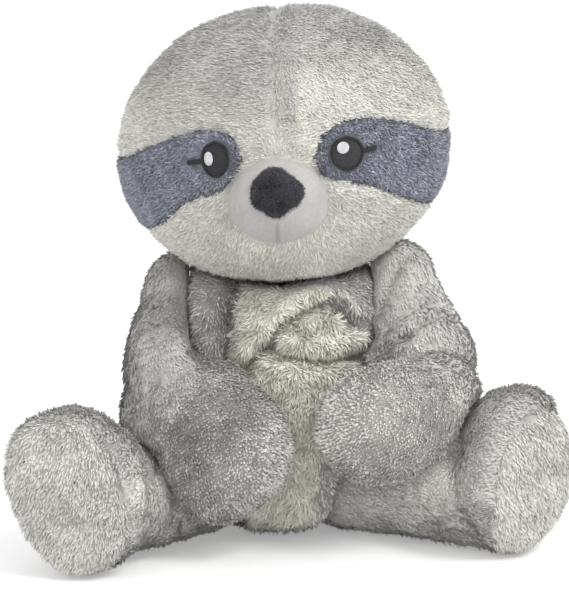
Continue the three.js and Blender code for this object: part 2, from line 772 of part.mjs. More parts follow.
function addLeg(group, name, leg) {
  const length = leg.path.getLength();
  const outer = stuffedSolid(leg).subtract(floorAt(0));
  const innerFloor = (extra) => floorAt(coverThickness - baseCut + extra);
  const cavity = stuffedSolid(leg, -coverThickness).subtract(innerFloor(0));
  const inside = (extra) => stuffedSolid(packed(leg), -coverThickness - extra).subtract(innerFloor(extra));
  const shell = outer.subtract(cavity).subtract(hipHole(leg));
  const soleCut = (grow) => soleBlock(leg, grow);
  addPiece(group, `leg_cover_${name}`, shell.subtract(soleCut(gap)), 'grey');
  addPiece(group, `sole_panel_${name}`, shell.intersect(soleCut(0)), 'cream');
  const cut = ringFrame(leg, footPouchStart * length);
  const direction = leg.path.getTangentAt(footPouchStart).setZ(0).normalize();
  const heel = (shift) => halfSpace(cut.centre.clone().addScaledVector(direction, shift), direction)
    .intersect(floorAt(footPouchHeight - shift));
  addPiece(group, `leg_filling_${name}`, inside(gap).subtract(heel(-gap)), 'fibre');
  const pouch = inside(gap).intersect(heel(0));
  const lined = inside(gap + linerThickness).intersect(heel(linerThickness));
  const mouth = pouchMouth(cut.centre.clone().setZ(footPouchHeight / 2), direction);
  addPiece(group, `foot_bead_pouch_${name}`, pouch.subtract(lined).subtract(mouth), 'liner');
  const beads = inside(2 * gap + linerThickness).intersect(heel(linerThickness + gap));
  addPiece(group, `foot_beads_${name}`, beads, 'beads');
}

// Oval column through the sole, along the way the sole faces
function soleBlock(leg, grow) {
  const reach = soleRound + coverThickness;
  const column = new THREE.CylinderGeometry(1, 1, 2 * reach, 20);
  const halfWidth = legHalfWidths.at(-1) * soleShare + grow;
  const halfHeight = legHalfHeights.at(-1) * soleShare + grow;
  const across = new THREE.Vector3().crossVectors(leg.soleHeading, leg.endFacing).normalize();
  const rolled = new THREE.Matrix4().makeBasis(
    across, leg.soleHeading, new THREE.Vector3().crossVectors(across, leg.soleHeading),
  ).setPosition(leg.soleCentre);
  return solidOf(column, rolled.scale(point(halfWidth, 1, halfHeight)));
}

addTorso(model);
const headGroup = new THREE.Group();
headGroup.applyMatrix4(headPlace);
addHead(headGroup);
model.add(headGroup);
for (const [name, arm] of Object.entries(arms)) addArm(model, name, arm);
for (const [name, leg] of Object.entries(legs)) addLeg(model, name, leg);

export default model;
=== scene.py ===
import math

import bpy
import numpy as np
from mathutils.bvhtree import BVHTree
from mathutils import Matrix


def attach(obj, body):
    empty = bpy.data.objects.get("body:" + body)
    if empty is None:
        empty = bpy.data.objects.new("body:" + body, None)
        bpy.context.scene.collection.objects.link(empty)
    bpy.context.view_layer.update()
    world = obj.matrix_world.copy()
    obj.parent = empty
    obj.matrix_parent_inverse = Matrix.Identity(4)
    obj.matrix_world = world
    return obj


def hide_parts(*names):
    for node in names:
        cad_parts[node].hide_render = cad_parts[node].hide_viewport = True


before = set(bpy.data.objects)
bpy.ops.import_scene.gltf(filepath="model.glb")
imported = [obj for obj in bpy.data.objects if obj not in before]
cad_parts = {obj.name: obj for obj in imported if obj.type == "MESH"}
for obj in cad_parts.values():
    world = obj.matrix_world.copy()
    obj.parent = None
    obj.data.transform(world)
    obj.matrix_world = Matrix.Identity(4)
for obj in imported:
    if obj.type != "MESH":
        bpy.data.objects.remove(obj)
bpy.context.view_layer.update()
mm = 0.001
print("frame loaded")

# All shapes are worked out in millimetres, on the CAD's own frame.


def unit(vectors):
    return vectors / np.maximum(np.linalg.norm(vectors, axis=-1, keepdims=True), 1e-9)


def bell(reach, width):
    return np.exp(-(reach / width)**2)


def blendIn(value, low, high):
    share = np.clip((value - low) / (high - low), 0, 1)
    return share * share * (3 - 2 * share)


# smooth path through a few places, and the distance walked along it
def splinePath(points):
    points = np.array(points, float)
    padded = np.vstack([2 * points[0] - points[1], points, 2 * points[-1] - points[-2]])
    t = np.linspace(0, 1, 40, endpoint=False)[:, None]
    places = []
    for start in range(len(points) - 1):
        p0, p1, p2, p3 = padded[start:start + 4]
        k0, k1, k2 = (math.sqrt(np.linalg.norm(b - a)) for a, b in ((p0, p1), (p1, p2), (p2, p3)))
        slope1 = ((p1 - p0) / k0 - (p2 - p0) / (k0 + k1) + (p2 - p1) / k1) * k1
        slope2 = ((p2 - p1) / k1 - (p3 - p1) / (k1 + k2) + (p3 - p2) / k2) * k1
        places.append((2 * t**3 - 3 * t**2 + 1) * p1 + (t**3 - 2 * t**2 + t) * slope1
                      + (3 * t**2 - 2 * t**3) * p2 + (t**3 - t**2) * slope2)
    places = np.vstack(places + [points[-1:]])
    steps = np.linalg.norm(np.diff(places, axis=0), axis=1)
    return places, np.concatenate([[0], np.cumsum(steps)])


# places and directions at distances along a path, straight on past its ends
def alongPath(path, distance):
    places, lengths = path
    inside = np.clip(distance, 0, lengths[-1])
    at = np.stack([np.interp(inside, lengths, places[:, axis]) for axis in range(3)], axis=-1)
    directions = unit(np.gradient(places, lengths, axis=0))
    way = unit(np.stack([np.interp(inside, lengths, directions[:, axis]) for axis in range(3)], axis=-1))
    return at + way * (distance - inside)[..., None], way


def evenCurve(values, share):
    values = np.array(values, float)
    place = np.clip(share, 0, 1) * (len(values) - 1)
    step = np.minimum(place.astype(int), len(values) - 2)
    t = place - step
    pick = lambda index: values[np.clip(index, 0, len(values) - 1)]
    before, here, after, last = pick(step - 1), pick(step), pick(step + 1), pick(step + 2)
    bend = 2 * t**3 - 3 * t**2 + 1
    return (bend * here + (1 - bend) * after + (t**3 - 2 * t**2 + t) * (after - before) / 2
            + (t**3 - t**2) * (last - here) / 2)


# a stuffed form: oval rings along a path, with rounded ends. grow moves the surface outward.
def formPoints(form, distance, angle, grow):
    path = form["spline"]
    length = path[1][-1]
    centre, way = alongPath(path, distance)
    share = np.clip(distance / length, 0, 1)
    facing = np.broadcast_to(np.array(form["facing"], float), centre.shape)
    if "endFacing" in form:
        turned = blendIn(share, form["rollStart"], 1)[..., None]
        facing = unit(facing * (1 - turned) + form["endFacing"] * turned)
    if not form.get("upright"):
        facing = unit(facing - way * np.sum(facing * way, axis=-1, keepdims=True))
    widthAxis = unit(np.cross(way, facing))

    def capShare(reach, rounding, plump):
        inward = np.maximum(0, 1 - (reach + grow) / (rounding + grow))
        return np.maximum(0, 1 - inward**plump)**(1 / plump)

    cap = capShare(distance, *form["start"]) * capShare(length - distance, *form["end"])
    swept = np.maximum(0, distance - form["start"][0]) * math.tan(math.radians(form.get("swing", 0)))
    width = (evenCurve(form["widths"], share) + grow + swept) * cap
    depth = (evenCurve(form["depths"], share) + grow) * cap
    return (centre + widthAxis * (width * np.cos(angle))[..., None]
            + facing * (depth * np.sin(angle))[..., None])


# grid of a form's surface, with rings evenly spaced over the surface, and its two pole points
def formGrid(form, spacing, grow=0, fromAngle=0.0, toAngle=2 * math.pi, closed=True):
    form["spline"] = splinePath(form["path"])
    length = form["spline"][1][-1]
    fine = -grow + (length + 2 * grow) * (1 - np.cos(np.linspace(0.001, math.pi - 0.001, 1500))) / 2
    walk = [np.linalg.norm(np.diff(formPoints(form, fine, np.full(1500, angle), grow), axis=0), axis=1)
            for angle in (0, math.pi / 2)]
    walked = np.concatenate([[0], np.cumsum(np.maximum(*walk))])
    rings = max(8, int(walked[-1] / spacing))
    distances = np.interp(np.linspace(0, walked[-1], rings + 2)[1:-1], walked, fine)
    around = max(max(form["widths"]), max(form["depths"])) * (toAngle - fromAngle)
    angles = np.linspace(fromAngle, toAngle, max(12, int(around / spacing)), endpoint=not closed)
    grid = formPoints(form, np.repeat(distances[:, None], len(angles), 1),
                      np.repeat(angles[None], rings, 0), grow)
    return grid, formPoints(form, np.array([-grow, length + grow]), np.zeros(2), grow)


# closed triangle mesh of a grid with two pole points. A half grid is closed by a flat wall.
def closedGrid(grid, ends):
    rings, sides = grid.shape[:2]
    index = np.arange(rings * sides).reshape(rings, sides)
    following = np.roll(index, -1, axis=1)
    low, high, lowNext, highNext = index[:-1], index[1:], following[:-1], following[1:]
    bottom, top = rings * sides, rings * sides + 1
    faces = [np.stack([low, highNext, lowNext], -1).reshape(-1, 3),
             np.stack([low, high, highNext], -1).reshape(-1, 3),
             np.stack([np.full(sides, bottom), index[0], following[0]], -1),
             np.stack([np.full(sides, top), following[-1], index[-1]], -1)]
    return np.vstack([grid.reshape(-1, 3), ends]), np.vstack(faces)


def vertexNormals(points, faces):
    corners = points[faces]
    flat = np.cross(corners[:, 1] - corners[:, 0], corners[:, 2] - corners[:, 0])
    normals = np.zeros_like(points)
    for corner in range(3):
        np.add.at(normals, faces[:, corner], flat)
    return unit(normals)


# soft irregular waves over points, between about -1 and 1
def softNoise(points, size, seed):
    draw = np.random.default_rng(seed)
    total = np.zeros(len(points))
    for _ in range(14):
        way = unit(draw.normal(size=3)) * (2 * math.pi / (size * draw.uniform(0.7, 1.6)))
        total += np.sin(points @ way + draw.uniform(0, 2 * math.pi))
    return total / 4.5


def distanceFrom(points, place):
    return np.linalg.norm(points - place, axis=1)


# distance in X and Z to the straight line between two corners
def edgeDistance(x, z, start, end):
    (ax, az), (bx, bz) = start, end
    run, rise = bx - ax, bz - az
    share = np.clip(((x - ax) * run + (z - az) * rise) / (run * run + rise * rise + 1e-9), 0, 1)
    return np.hypot(x - ax - share * run, z - az - share * rise)


# distance in X and Z to a line of several corners
def lineDistance(points, line):
    x, z = points[:, 0], points[:, 2]
    return np.min([edgeDistance(x, z, start, end) for start, end in zip(line[:-1], line[1:])], axis=0)


# signed distance to a closed outline in X and Z: below zero inside
def outlineDistance(x, z, outline):
    nearest = np.full(len(x), 1e9)
    inside = np.zeros(len(x), bool)
    for (ax, az), (bx, bz) in zip(outline, np.roll(outline, -1, axis=0)):
        nearest = np.minimum(nearest, edgeDistance(x, z, (ax, az), (bx, bz)))
        rise = bz - az if abs(bz - az) > 1e-9 else 1e-9
        inside ^= ((az > z) != (bz > z)) & (x < (bx - ax) * (z - az) / rise + ax)
    return np.where(inside, -nearest, nearest)


def smoothLoop(points, count):
    points = np.array(points, float)
    padded = np.vstack([points, points[:1]])
    places, lengths = splinePath(np.column_stack([padded, np.zeros(len(padded))]))
    at = np.linspace(0, lengths[-1], count, endpoint=False)
    return np.column_stack([np.interp(at, lengths, places[:, 0]), np.interp(at, lengths, places[:, 1])])


def turnedAbout(points, pivot, axis, angle):
    axis = unit(np.array(axis, float))
    cross = np.cross(np.broadcast_to(axis, points.shape), points - pivot)
    along = ((points - pivot) @ axis)[..., None] * axis
    flat = points - pivot - along
    angle = math.radians(angle)
    return pivot + along + flat * math.cos(angle) + cross * math.sin(angle)


def meshObject(name, points, faces, normals=None, values=None):
    mesh = bpy.data.meshes.new(name)
    mesh.vertices.add(len(points))
    mesh.vertices.foreach_set("co", (points * mm).astype(np.float32).ravel())
    mesh.loops.add(len(faces) * 3)
    mesh.loops.foreach_set("vertex_index", faces.astype(np.int32).ravel())
    mesh.polygons.add(len(faces))
    mesh.polygons.foreach_set("loop_start", np.arange(0, len(faces) * 3, 3, dtype=np.int32))
    mesh.update(calc_edges=True)
    mesh.polygons.foreach_set("use_smooth", np.ones(len(faces), bool))
    for key, numbers in (values or {}).items():
        mesh.attributes.new(key, "FLOAT", "POINT").data.foreach_set("value", numbers.astype(np.float32))
    if normals is not None:
        mesh.normals_split_custom_set_from_vertices(normals)
    made = bpy.data.objects.new(name, mesh)
    bpy.context.scene.collection.objects.link(made)
    return made


# points and triangles of an object as its modifiers leave it
def meshArrays(made):
    mesh = bpy.data.meshes.new_from_object(made.evaluated_get(bpy.context.evaluated_depsgraph_get()))
    mesh.calc_loop_triangles()
    points = np.empty(len(mesh.vertices) * 3)
    mesh.vertices.foreach_get("co", points)
    faces = np.empty(len(mesh.loop_triangles) * 3, np.int32)
    mesh.loop_triangles.foreach_get("vertices", faces)
    bpy.data.meshes.remove(mesh)
    return points.reshape(-1, 3) / mm, faces.reshape(-1, 3)


def dropped(*objects):
    for made in objects:
        mesh = made.data
        bpy.data.objects.remove(made)
        bpy.data.meshes.remove(mesh)


sheetAbove, sheetBelow = 0.5, 2.0


# the faces on one side of a border, made into a closed sheet of cloth
def clothSheet(points, faces, inside):
    picked = faces[inside[faces].all(axis=1)]
    used, picked = np.unique(picked, return_inverse=True)
    picked = picked.reshape(-1, 3)
    out = vertexNormals(points, faces)[used]
    directed = np.vstack([picked[:, [0, 1]], picked[:, [1, 2]], picked[:, [2, 0]]])
    _, first, counts = np.unique(np.sort(directed, axis=1), axis=0, return_index=True, return_counts=True)
    rim, size = directed[first[counts == 1]], len(used)
    walls = np.vstack([np.column_stack([rim[:, 1], rim[:, 0], rim[:, 0] + size]),
                       np.column_stack([rim[:, 1], rim[:, 0] + size, rim[:, 1] + size])])
    return (np.vstack([points[used] + out * sheetAbove, points[used] - out * sheetBelow]),
            np.vstack([picked, picked[:, ::-1] + size, walls]))


# how the pile changes where it is rubbed up, and where it lies calm
rubbed = {"lean": -26, "length": -0.15, "rows": 0.9, "gather": 0.6}
calmed = {"turn": 0.4, "swirl": 0.7, "ruffle": 0.8, "lean": 13, "length": 0.2, "tone": 0.6, "sharp": 0.75,
          "tips": 0.8, "evenTip": 0.58}
plainTips = [0.0, 0.6, 0.6, 0.8, 1.0]
tuftPoints = 5  # root, two sides, ridge and tip
tuftFaces = np.array([[0, 1, 3], [1, 4, 3], [4, 2, 3], [2, 0, 3], [0, 2, 1], [1, 2, 4]])


# where the pile lies calm its roots are hidden, so the painted root shade gives way to one even tone
def calmTips(tips, calm):
    return calmed["evenTip"] + (tips - calmed["evenTip"]) * (1 - calmed["tips"] * calm)


# Pile: tapered tufts rooted in the skin, leaning the way it is combed. upright(points) is 1 where
# the pile stands and 0 where it lies.
def growPile(points, faces, normals, pile, combed, keep, upright, seed):
    draw = np.random.default_rng(seed)
    corners = points[faces]
    areas = np.linalg.norm(np.cross(corners[:, 1] - corners[:, 0], corners[:, 2] - corners[:, 0]), axis=1) / 2
    count = int(areas.sum() / pile["spacing"]**2)
    chosen = np.searchsorted(np.cumsum(areas), (np.arange(count) + draw.random(count)) / count * areas.sum())
    chosen = np.minimum(chosen, len(faces) - 1)
    a, b = draw.random(count), draw.random(count)
    a, b = np.where(a + b > 1, 1 - a, a), np.where(a + b > 1, 1 - b, b)
    weights = np.stack([1 - a - b, a, b], -1)[..., None]
    root = np.sum(points[faces[chosen]] * weights, axis=1)
    outward = unit(np.sum(normals[faces[chosen]] * weights, axis=1))
    thin = root[:, 1] > pile.get("thinBehind", 1e9)
    kept = keep(root, outward) & (~thin | (draw.random(count) < 0.6))
    root, outward, thin = root[kept], outward[kept], thin[kept]
    count = len(root)
    way = combed(root)
    way = unit(way - outward * np.sum(way * outward, axis=1, keepdims=True))
    across = np.cross(outward, way)
    stands = upright(root) if upright else np.zeros(count)
    calm = pile.get("calm", 0) * (1 - stands)
    turn = draw.normal(0, pile["scatter"], count) * (1 - calmed["turn"] * calm)
    turn += pile.get("swirl", 0) * (1 - calmed["swirl"] * calm) * softNoise(root, 13, seed + 5)
    way, across = (way * np.cos(turn)[:, None] + across * np.sin(turn)[:, None],
                   across * np.cos(turn)[:, None] - way * np.sin(turn)[:, None])
    lean = pile["lean"] + rubbed["lean"] * stands + calmed["lean"] * calm + draw.normal(0, 8, count)
    lean += pile.get("ruffle", 0) * (1 - calmed["ruffle"] * calm) * softNoise(root, 9, seed + 9)
    lean = np.radians(np.clip(lean, 4, 80))
    length = pile["length"] * draw.uniform(0.72, 1.25, count)
    length *= 1 + rubbed["length"] * stands + calmed["length"] * calm
    tone = draw.normal(0, 1, count)
    if pile.get("darkSpecks"):
        tone = 0.75 - 1.15 * np.abs(tone)
    tone *= 1 - calmed["tone"] * calm
    # the standing pile gathers in rows
    if "rows" in pile:
        along, period = np.array(pile["rows"][0]), pile["rows"][1]
        phase = root @ along * 2 * math.pi / period + 1.6 * softNoise(root, 16, seed + 11)
        tone += rubbed["rows"] * stands * np.sin(phase)
        off = (phase + math.pi / 2) % (2 * math.pi) - math.pi
        shift = rubbed["gather"] * stands * off * period / 2 / math.pi
        root = root - (along - outward * (outward @ along)[:, None]) * shift[:, None]
    strand = outward * np.cos(lean)[:, None] + way * np.sin(lean)[:, None]
    lift = np.cross(across, strand)
    base = root - outward * 0.8
    half = pile["width"] * draw.uniform(0.7, 1.2, count)[:, None] * np.where(thin, 1.3, 1)[:, None]
    middle = base + strand * length[:, None] * pile.get("belly", 0.5)
    made = np.stack([base, middle + across * half, middle - across * half, middle + lift * half * 0.7,
                     base + strand * length[:, None]], axis=1)
    sharp = (pile.get("sharp", 1) * (1 - calmed["sharp"] * calm))[:, None]
    slant = outward[:, None] + np.stack([-strand * 0.5, across * 0.75, -across * 0.75, lift * 0.2, strand * 0.6],
                                        axis=1) * sharp[:, None]
    start = np.arange(count)[:, None, None] * tuftPoints
    return {"points": made.reshape(-1, 3), "faces": (start + tuftFaces[None]).reshape(-1, 3),
            "normals": unit(slant.reshape(-1, 3)), "tone": np.repeat(tone, tuftPoints),
            "tip": calmTips(np.array(pile.get("tips", plainTips)), calm[:, None]).ravel(),
            "roots": np.repeat(root, tuftPoints, axis=0)}


# One piece of skin and its pile. shades(points) gives the values that its material reads, and
# evened(points, normals) mends the skin's normals where two pieces meet.
def pilePiece(name, skin, pile, combed, keep, shades, material, body, replaced, seed, upright=None,
              evened=None):
    points, faces = skin
    normals = vertexNormals(points, faces)
    if evened:
        normals = evened(points, normals)
    hair = growPile(points, faces, normals, pile, combed, keep, upright, seed)
    values = shades(np.vstack([points, hair["roots"]]))
    values["tone"] = np.concatenate([np.zeros(len(points)), hair["tone"]])
    calm = pile.get("calm", 0) * (1 - (upright(points) if upright else np.zeros(len(points))))
    # the skin between the tufts takes the painted shade of the roots
    values["tip"] = np.concatenate([calmTips(np.full(len(points), pile.get("skinTip", 0.15)), calm), hair["tip"]])
    made = meshObject(name, np.vstack([points, hair["points"]]), np.vstack([faces, hair["faces"] + len(points)]),
                      np.vstack([normals, hair["normals"]]), values)
    made.data.materials.append(material)
    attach(made, body)
    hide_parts(replaced)
    print(name, "made:", len(hair["tone"]) // tuftPoints, "tufts")


class Nodes:
    def __init__(self, name):
        self.material = bpy.data.materials.new(name)
        self.material.use_nodes = True
        self.tree = self.material.node_tree
        self.shader = self.tree.nodes["Principled BSDF"]

    def add(self, kind, values=None, **links):
        node = self.tree.nodes.new("ShaderNode" + kind)
        for key, value in (values or {}).items():
            if key in node.inputs.keys():
                node.inputs[key].default_value = value
            else:
                setattr(node, key, value)
        for key, source in links.items():
            self.tree.links.new(source, node.inputs[key.replace("_", " ")])
        return node

    def attribute(self, name):
        return self.add("Attribute", {"attribute_name": name}).outputs["Fac"]

    def place(self):
        return self.add("TexCoord").outputs["Object"]

    def noise(self, scale, detail=3, roughness=0.55):
        made = self.add("TexNoise", {"Scale": scale, "Detail": detail, "Roughness": roughness},
                        Vector=self.place())
        return made.outputs["Fac"]

    def ranged(self, source, low, high, toLow, toHigh):
        made = self.add("MapRange", {"From Min": low, "From Max": high, "To Min": toLow, "To Max": toHigh},
                        Value=source)
        return made.outputs["Result"]

    # a socket takes a number, a colour or another node's output
    def feed(self, socket, source):
        if isinstance(source, tuple):
            socket.default_value = (*source, 1)
        elif isinstance(source, (int, float)):
            socket.default_value = source
        else:
            self.tree.links.new(source, socket)

    def sum(self, a, b, kind="ADD"):
        made = self.add("Math", {"operation": kind})
        self.feed(made.inputs[0], a)
        self.feed(made.inputs[1], b)
        return made.outputs[0]

    def product(self, a, b):
        return self.sum(a, b, "MULTIPLY")

    def mixed(self, factor, first, second):
        made = self.add("Mix", {"data_type": "RGBA"})
        for number, source in ((0, factor), (6, first), (7, second)):
            self.feed(made.inputs[number], source)
        return made.outputs[2]

    def scaled(self, colour, factor):
        made = self.add("VectorMath", {"operation": "SCALE"}, Scale=factor)
        self.feed(made.inputs[0], colour)
        return made.outputs[0]

    def finish(self, colour, roughness, sheen=0.0, specular=0.15):
        self.tree.links.new(colour, self.shader.inputs["Base Color"])
        self.shader.inputs["Roughness"].default_value = roughness
        self.shader.inputs["Specular IOR Level"].default_value = specular
        self.shader.inputs["Sheen Weight"].default_value = sheen
        self.shader.inputs["Sheen Roughness"].default_value = 0.5

    def bump(self, height, strength, distance):
        made = self.add("Bump", {"Strength": strength, "Distance": distance}, Height=height)
        self.tree.links.new(made.outputs[0], self.shader.inputs["Normal"])


# plush pile: two colours mixed by the vertex value "cream", mottled, with painted shade darkening the roots and the
# skin between the tufts, and lighter tips
def pileMaterial(name, first, second, look):
    nodes = Nodes(name)
    patches = nodes.ranged(nodes.noise(look["patchScale"], 2), 0.35, 0.65, -1, 1)
    speckle = nodes.ranged(nodes.noise(look["speckleScale"], 4, 0.7), 0.3, 0.7, -1, 1)
    share = nodes.sum(nodes.attribute("cream"), nodes.product(speckle, 0.10))
    colour = nodes.mixed(nodes.add("Clamp", None, Value=share).outputs[0], first, second)
    bright = nodes.sum(nodes.product(patches, look["patches"]), nodes.product(speckle, look["speckles"]))
    bright = nodes.sum(bright, nodes.product(nodes.attribute("tone"), look["strands"]))
    bright = nodes.sum(nodes.sum(bright, nodes.attribute("shade")), 1)
    # painted shade: dark at the roots, brighter at the tips
    tip = nodes.ranged(nodes.attribute("tip"), 0, 1, look["rootShade"], look["tipShade"])
    nodes.finish(nodes.scaled(colour, nodes.product(bright, tip)), 0.85, look.get("sheen", 0.2))
    nodes.bump(nodes.noise(900, 2), 0.25, 0.0006)
    return nodes.material


pileColours = {
    "grey": (0.53, 0.52, 0.495), "cream": (0.76, 0.75, 0.685),
    "armGrey": (0.58, 0.565, 0.54), "bellyCream": (0.84, 0.83, 0.72), "soleCream": (0.82, 0.805, 0.755),
    "slate": (0.255, 0.268, 0.325), "slateLight": (0.31, 0.325, 0.385), "black": (0.05, 0.05, 0.056),
}
headPile = pileMaterial("headPile", pileColours["grey"], pileColours["cream"], {
    "patchScale": 14, "speckleScale": 70, "patches": 0.06, "speckles": 0.06, "strands": 0.13,
    "rootShade": 0.52, "tipShade": 1.2})
bodyPile = pileMaterial("bodyPile", pileColours["armGrey"], pileColours["soleCream"], {
    "patchScale": 18, "speckleScale": 80, "patches": 0.10, "speckles": 0.07, "strands": 0.22,
    "rootShade": 0.34, "tipShade": 1.2, "sheen": 0.14})
bellyPile = pileMaterial("bellyPile", pileColours["armGrey"], pileColours["bellyCream"], {
    "patchScale": 22, "speckleScale": 80, "patches": 0.07, "speckles": 0.06, "strands": 0.13,
    "rootShade": 0.56, "tipShade": 1.2})
slatePile = pileMaterial("slatePile", pileColours["slate"], pileColours["slateLight"], {
    "patchScale": 25, "speckleScale": 110, "patches": 0.08, "speckles": 0.14, "strands": 0.28,
    "rootShade": 0.45, "tipShade": 1.35})
blackPile = pileMaterial("blackPile", pileColours["black"], pileColours["black"], {
    "patchScale": 40, "speckleScale": 160, "patches": 0.1, "speckles": 0.2, "strands": 0.35,
    "rootShade": 0.6, "tipShade": 1.3, "sheen": 0.2})


def velourMaterial():
    nodes = Nodes("velour")
    fine = nodes.noise(420, 5, 0.7)
    colour = nodes.mixed(nodes.ranged(nodes.noise(45, 3), 0.35, 0.65, 0, 1),
                         (0.43, 0.415, 0.405), (0.49, 0.475, 0.465))
    bright = nodes.sum(nodes.ranged(fine, 0.3, 0.7, 0.88, 1.08), nodes.attribute("shade"))
    nodes.finish(nodes.scaled(colour, bright), 0.9, 0.3, 0.12)
    nodes.bump(fine, 0.45, 0.0008)
    return nodes.material


# embroidery thread: rows of stitches, with a painted highlight where a thread crowns and painted shade between the rows
def threadMaterial(name, colour, tilt, gloss):
    nodes = Nodes(name)
    mapping = nodes.add("Mapping", {"Rotation": (0, tilt, 0)}, Vector=nodes.place())
    wave = nodes.add("TexWave", {"Scale": 320, "Distortion": 1.2, "Detail": 2, "bands_direction": "Z"},
                     Vector=mapping.outputs[0]).outputs["Fac"]
    spots = nodes.ranged(nodes.noise(240, 3), 0.3, 0.7, 0.85, 1.15)
    bright = nodes.product(nodes.ranged(wave, 0, 1, 0.6, 1.25), spots)
    nodes.finish(nodes.scaled(nodes.mixed(0.0, colour, colour), bright), gloss, 0.1, 0.3)
    nodes.bump(wave, 0.6, 0.0004)
    return nodes.material


def fibreMaterial():
    nodes = Nodes("fibre")
    strands = nodes.noise(260, 6, 0.8)
    nodes.finish(nodes.mixed(nodes.ranged(strands, 0.3, 0.7, 0, 1), (0.70, 0.70, 0.68), (0.86, 0.86, 0.84)), 1.0)
    nodes.bump(strands, 0.7, 0.002)
    return nodes.material


def linerMaterial():
    nodes = Nodes("liner")
    warp, weft = (nodes.add("TexWave", {"Scale": 260, "bands_direction": way}, Vector=nodes.place()).outputs["Fac"]
                  for way in "XZ")
    weave = nodes.product(warp, weft)
    nodes.finish(nodes.mixed(weave, (0.52, 0.49, 0.43), (0.68, 0.65, 0.58)), 0.85)
    nodes.bump(weave, 0.5, 0.0005)
    return nodes.material


# glass beads in cells, with a painted highlight in each bead's middle and painted shade between the beads
def beadMaterial():
    nodes = Nodes("glassBeads")
    cells = nodes.add("TexVoronoi", {"Scale": 420}, Vector=nodes.place()).outputs["Distance"]
    nodes.finish(nodes.mixed(nodes.ranged(cells, 0, 0.7, 0, 1), (0.66, 0.74, 0.77), (0.34, 0.40, 0.43)), 0.25, 0, 0.5)
    nodes.bump(nodes.ranged(cells, 0, 0.7, 1, 0), 1.0, 0.0015)
    return nodes.material


velour = velourMaterial()
blackThread = threadMaterial("blackThread", (0.026, 0.026, 0.029), 0.2, 0.5)
edgeThread = threadMaterial("edgeThread", (0.013, 0.013, 0.015), 0.9, 0.45)
whiteThread = threadMaterial("whiteThread", (0.68, 0.68, 0.70), 0.6, 0.5)
greyThread = threadMaterial("greyThread", (0.36, 0.35, 0.33), 0.2, 0.6)
fibre, liner, glassBeads = fibreMaterial(), linerMaterial(), beadMaterial()

# pieces that stay as the CAD has them, under the covers
cadLooks = {"back_closing_thread": greyThread, "seat_bead_pouch": liner, "seat_beads": glassBeads}
for place in ("hand", "foot"):
    for side in ("left", "right"):
        cadLooks[f"{place}_bead_pouch_{side}"], cadLooks[f"{place}_beads_{side}"] = liner, glassBeads
for node, material in cadLooks.items():
    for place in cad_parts[node].material_slots:
        place.material = material
print("materials made")


# Filling: the CAD's own filling, pressed in where the cover above it is creased.
def filling(node, name, body, pressed):
    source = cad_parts[node]
    copy = bpy.data.objects.new(name + "Copy", source.data.copy())
    bpy.context.scene.collection.objects.link(copy)
    remesh = copy.modifiers.new("even", "REMESH")
    remesh.mode, remesh.voxel_size = "VOXEL", 5 * mm
    points, faces = meshArrays(copy)
    dropped(copy)
    normals = vertexNormals(points, faces)
    points = points + normals * (np.minimum(0, pressed(points)) - 0.6)[:, None]
    points[:, 2] = np.maximum(points[:, 2], 3.0)
    made = meshObject(name, points, faces)
    made.data.materials.append(fibre)
    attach(made, body)
    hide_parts(node)


headSizes = {
    "centre": (2, -10, 283), "turn": -2.6, "tilt": -2.7, "half": (119, 92, 100), "skinDepth": 2.6,
    "seamDepth": 2.2, "seamWidth": 4.6, "maskGroove": 1.6, "spacing": 3.2, "lopsided": 1.8, "wallAside": 0.02,
}
headWide, headDeep, headHigh = headSizes["half"]
headHalf = np.array(headSizes["half"], float)
headForm = {
    "path": [(0, 0, -headHigh), (0, 0, headHigh)], "facing": (0, -1, 0), "widths": [headWide, headWide],
    "depths": [headDeep, headDeep], "start": (headHigh, 2.1), "end": (headHigh, 2.05),
}
turn, tilt = math.radians(headSizes["turn"]), math.radians(headSizes["tilt"])
headAxes = (np.array([[math.cos(turn), -math.sin(turn), 0], [math.sin(turn), math.cos(turn), 0], [0, 0, 1]])
            @ np.array([[math.cos(tilt), 0, math.sin(tilt)], [0, 1, 0], [-math.sin(tilt), 0, math.cos(tilt)]]))
headCentre = np.array(headSizes["centre"], float)
toHead = lambda points: (points - headCentre) @ headAxes
fromHead = lambda points: points @ headAxes.T + headCentre
headOut = lambda local: unit(local / headHalf**2)

# mask outlines in X (outward) and Z, on the head's own frame
maskOutlines = {
    1: smoothLoop([[24, 4], [32, 19], [47, 27], [81, 23], [118, 6], [150, -2],
                   [150, -52], [112, -49], [96, -41], [63, -21], [44, -15], [31, -11]], 90),
    -1: smoothLoop([[24, 4], [28, 16], [38, 23], [58, 23], [90, 11], [115, -3], [150, -12],
                    [150, -62], [108, -59], [92, -51], [63, -27], [37, -17]], 90),
}
maskBack = 6
eyeSizes = {
    "Left": {"side": 1, "centre": (47.5, 4.5), "half": (11.5, 12), "glint": (-2.5, 4.4, 4.1, 4.1), "lashRise": 0.10},
    "Right": {"side": -1, "centre": (43, 4.2), "half": (9.8, 12.8), "glint": (-4.7, 0.6, 3.1, 4.8), "lashRise": -0.12},
}
eyeOf = {1: eyeSizes["Left"], -1: eyeSizes["Right"]}
muzzleSizes = {"aside": -1.5, "drop": 26, "half": (34, 30), "reach": 116, "seamDepth": 1.3}


# 1 on the muzzle's rim with some room round it, less inside
def muzzleShare(local, roomAside=0, roomUp=0):
    wide, high = muzzleSizes["half"]
    return np.hypot((local[:, 0] - muzzleSizes["aside"]) / (wide + roomAside),
                    (local[:, 2] + muzzleSizes["drop"]) / (high + roomUp))


# signed distance to the mask on one side, in the head's own frame
def maskDistance(local, side):
    away = outlineDistance(local[:, 0] * side, local[:, 2], maskOutlines[side])
    return np.maximum(away, local[:, 1] - maskBack)


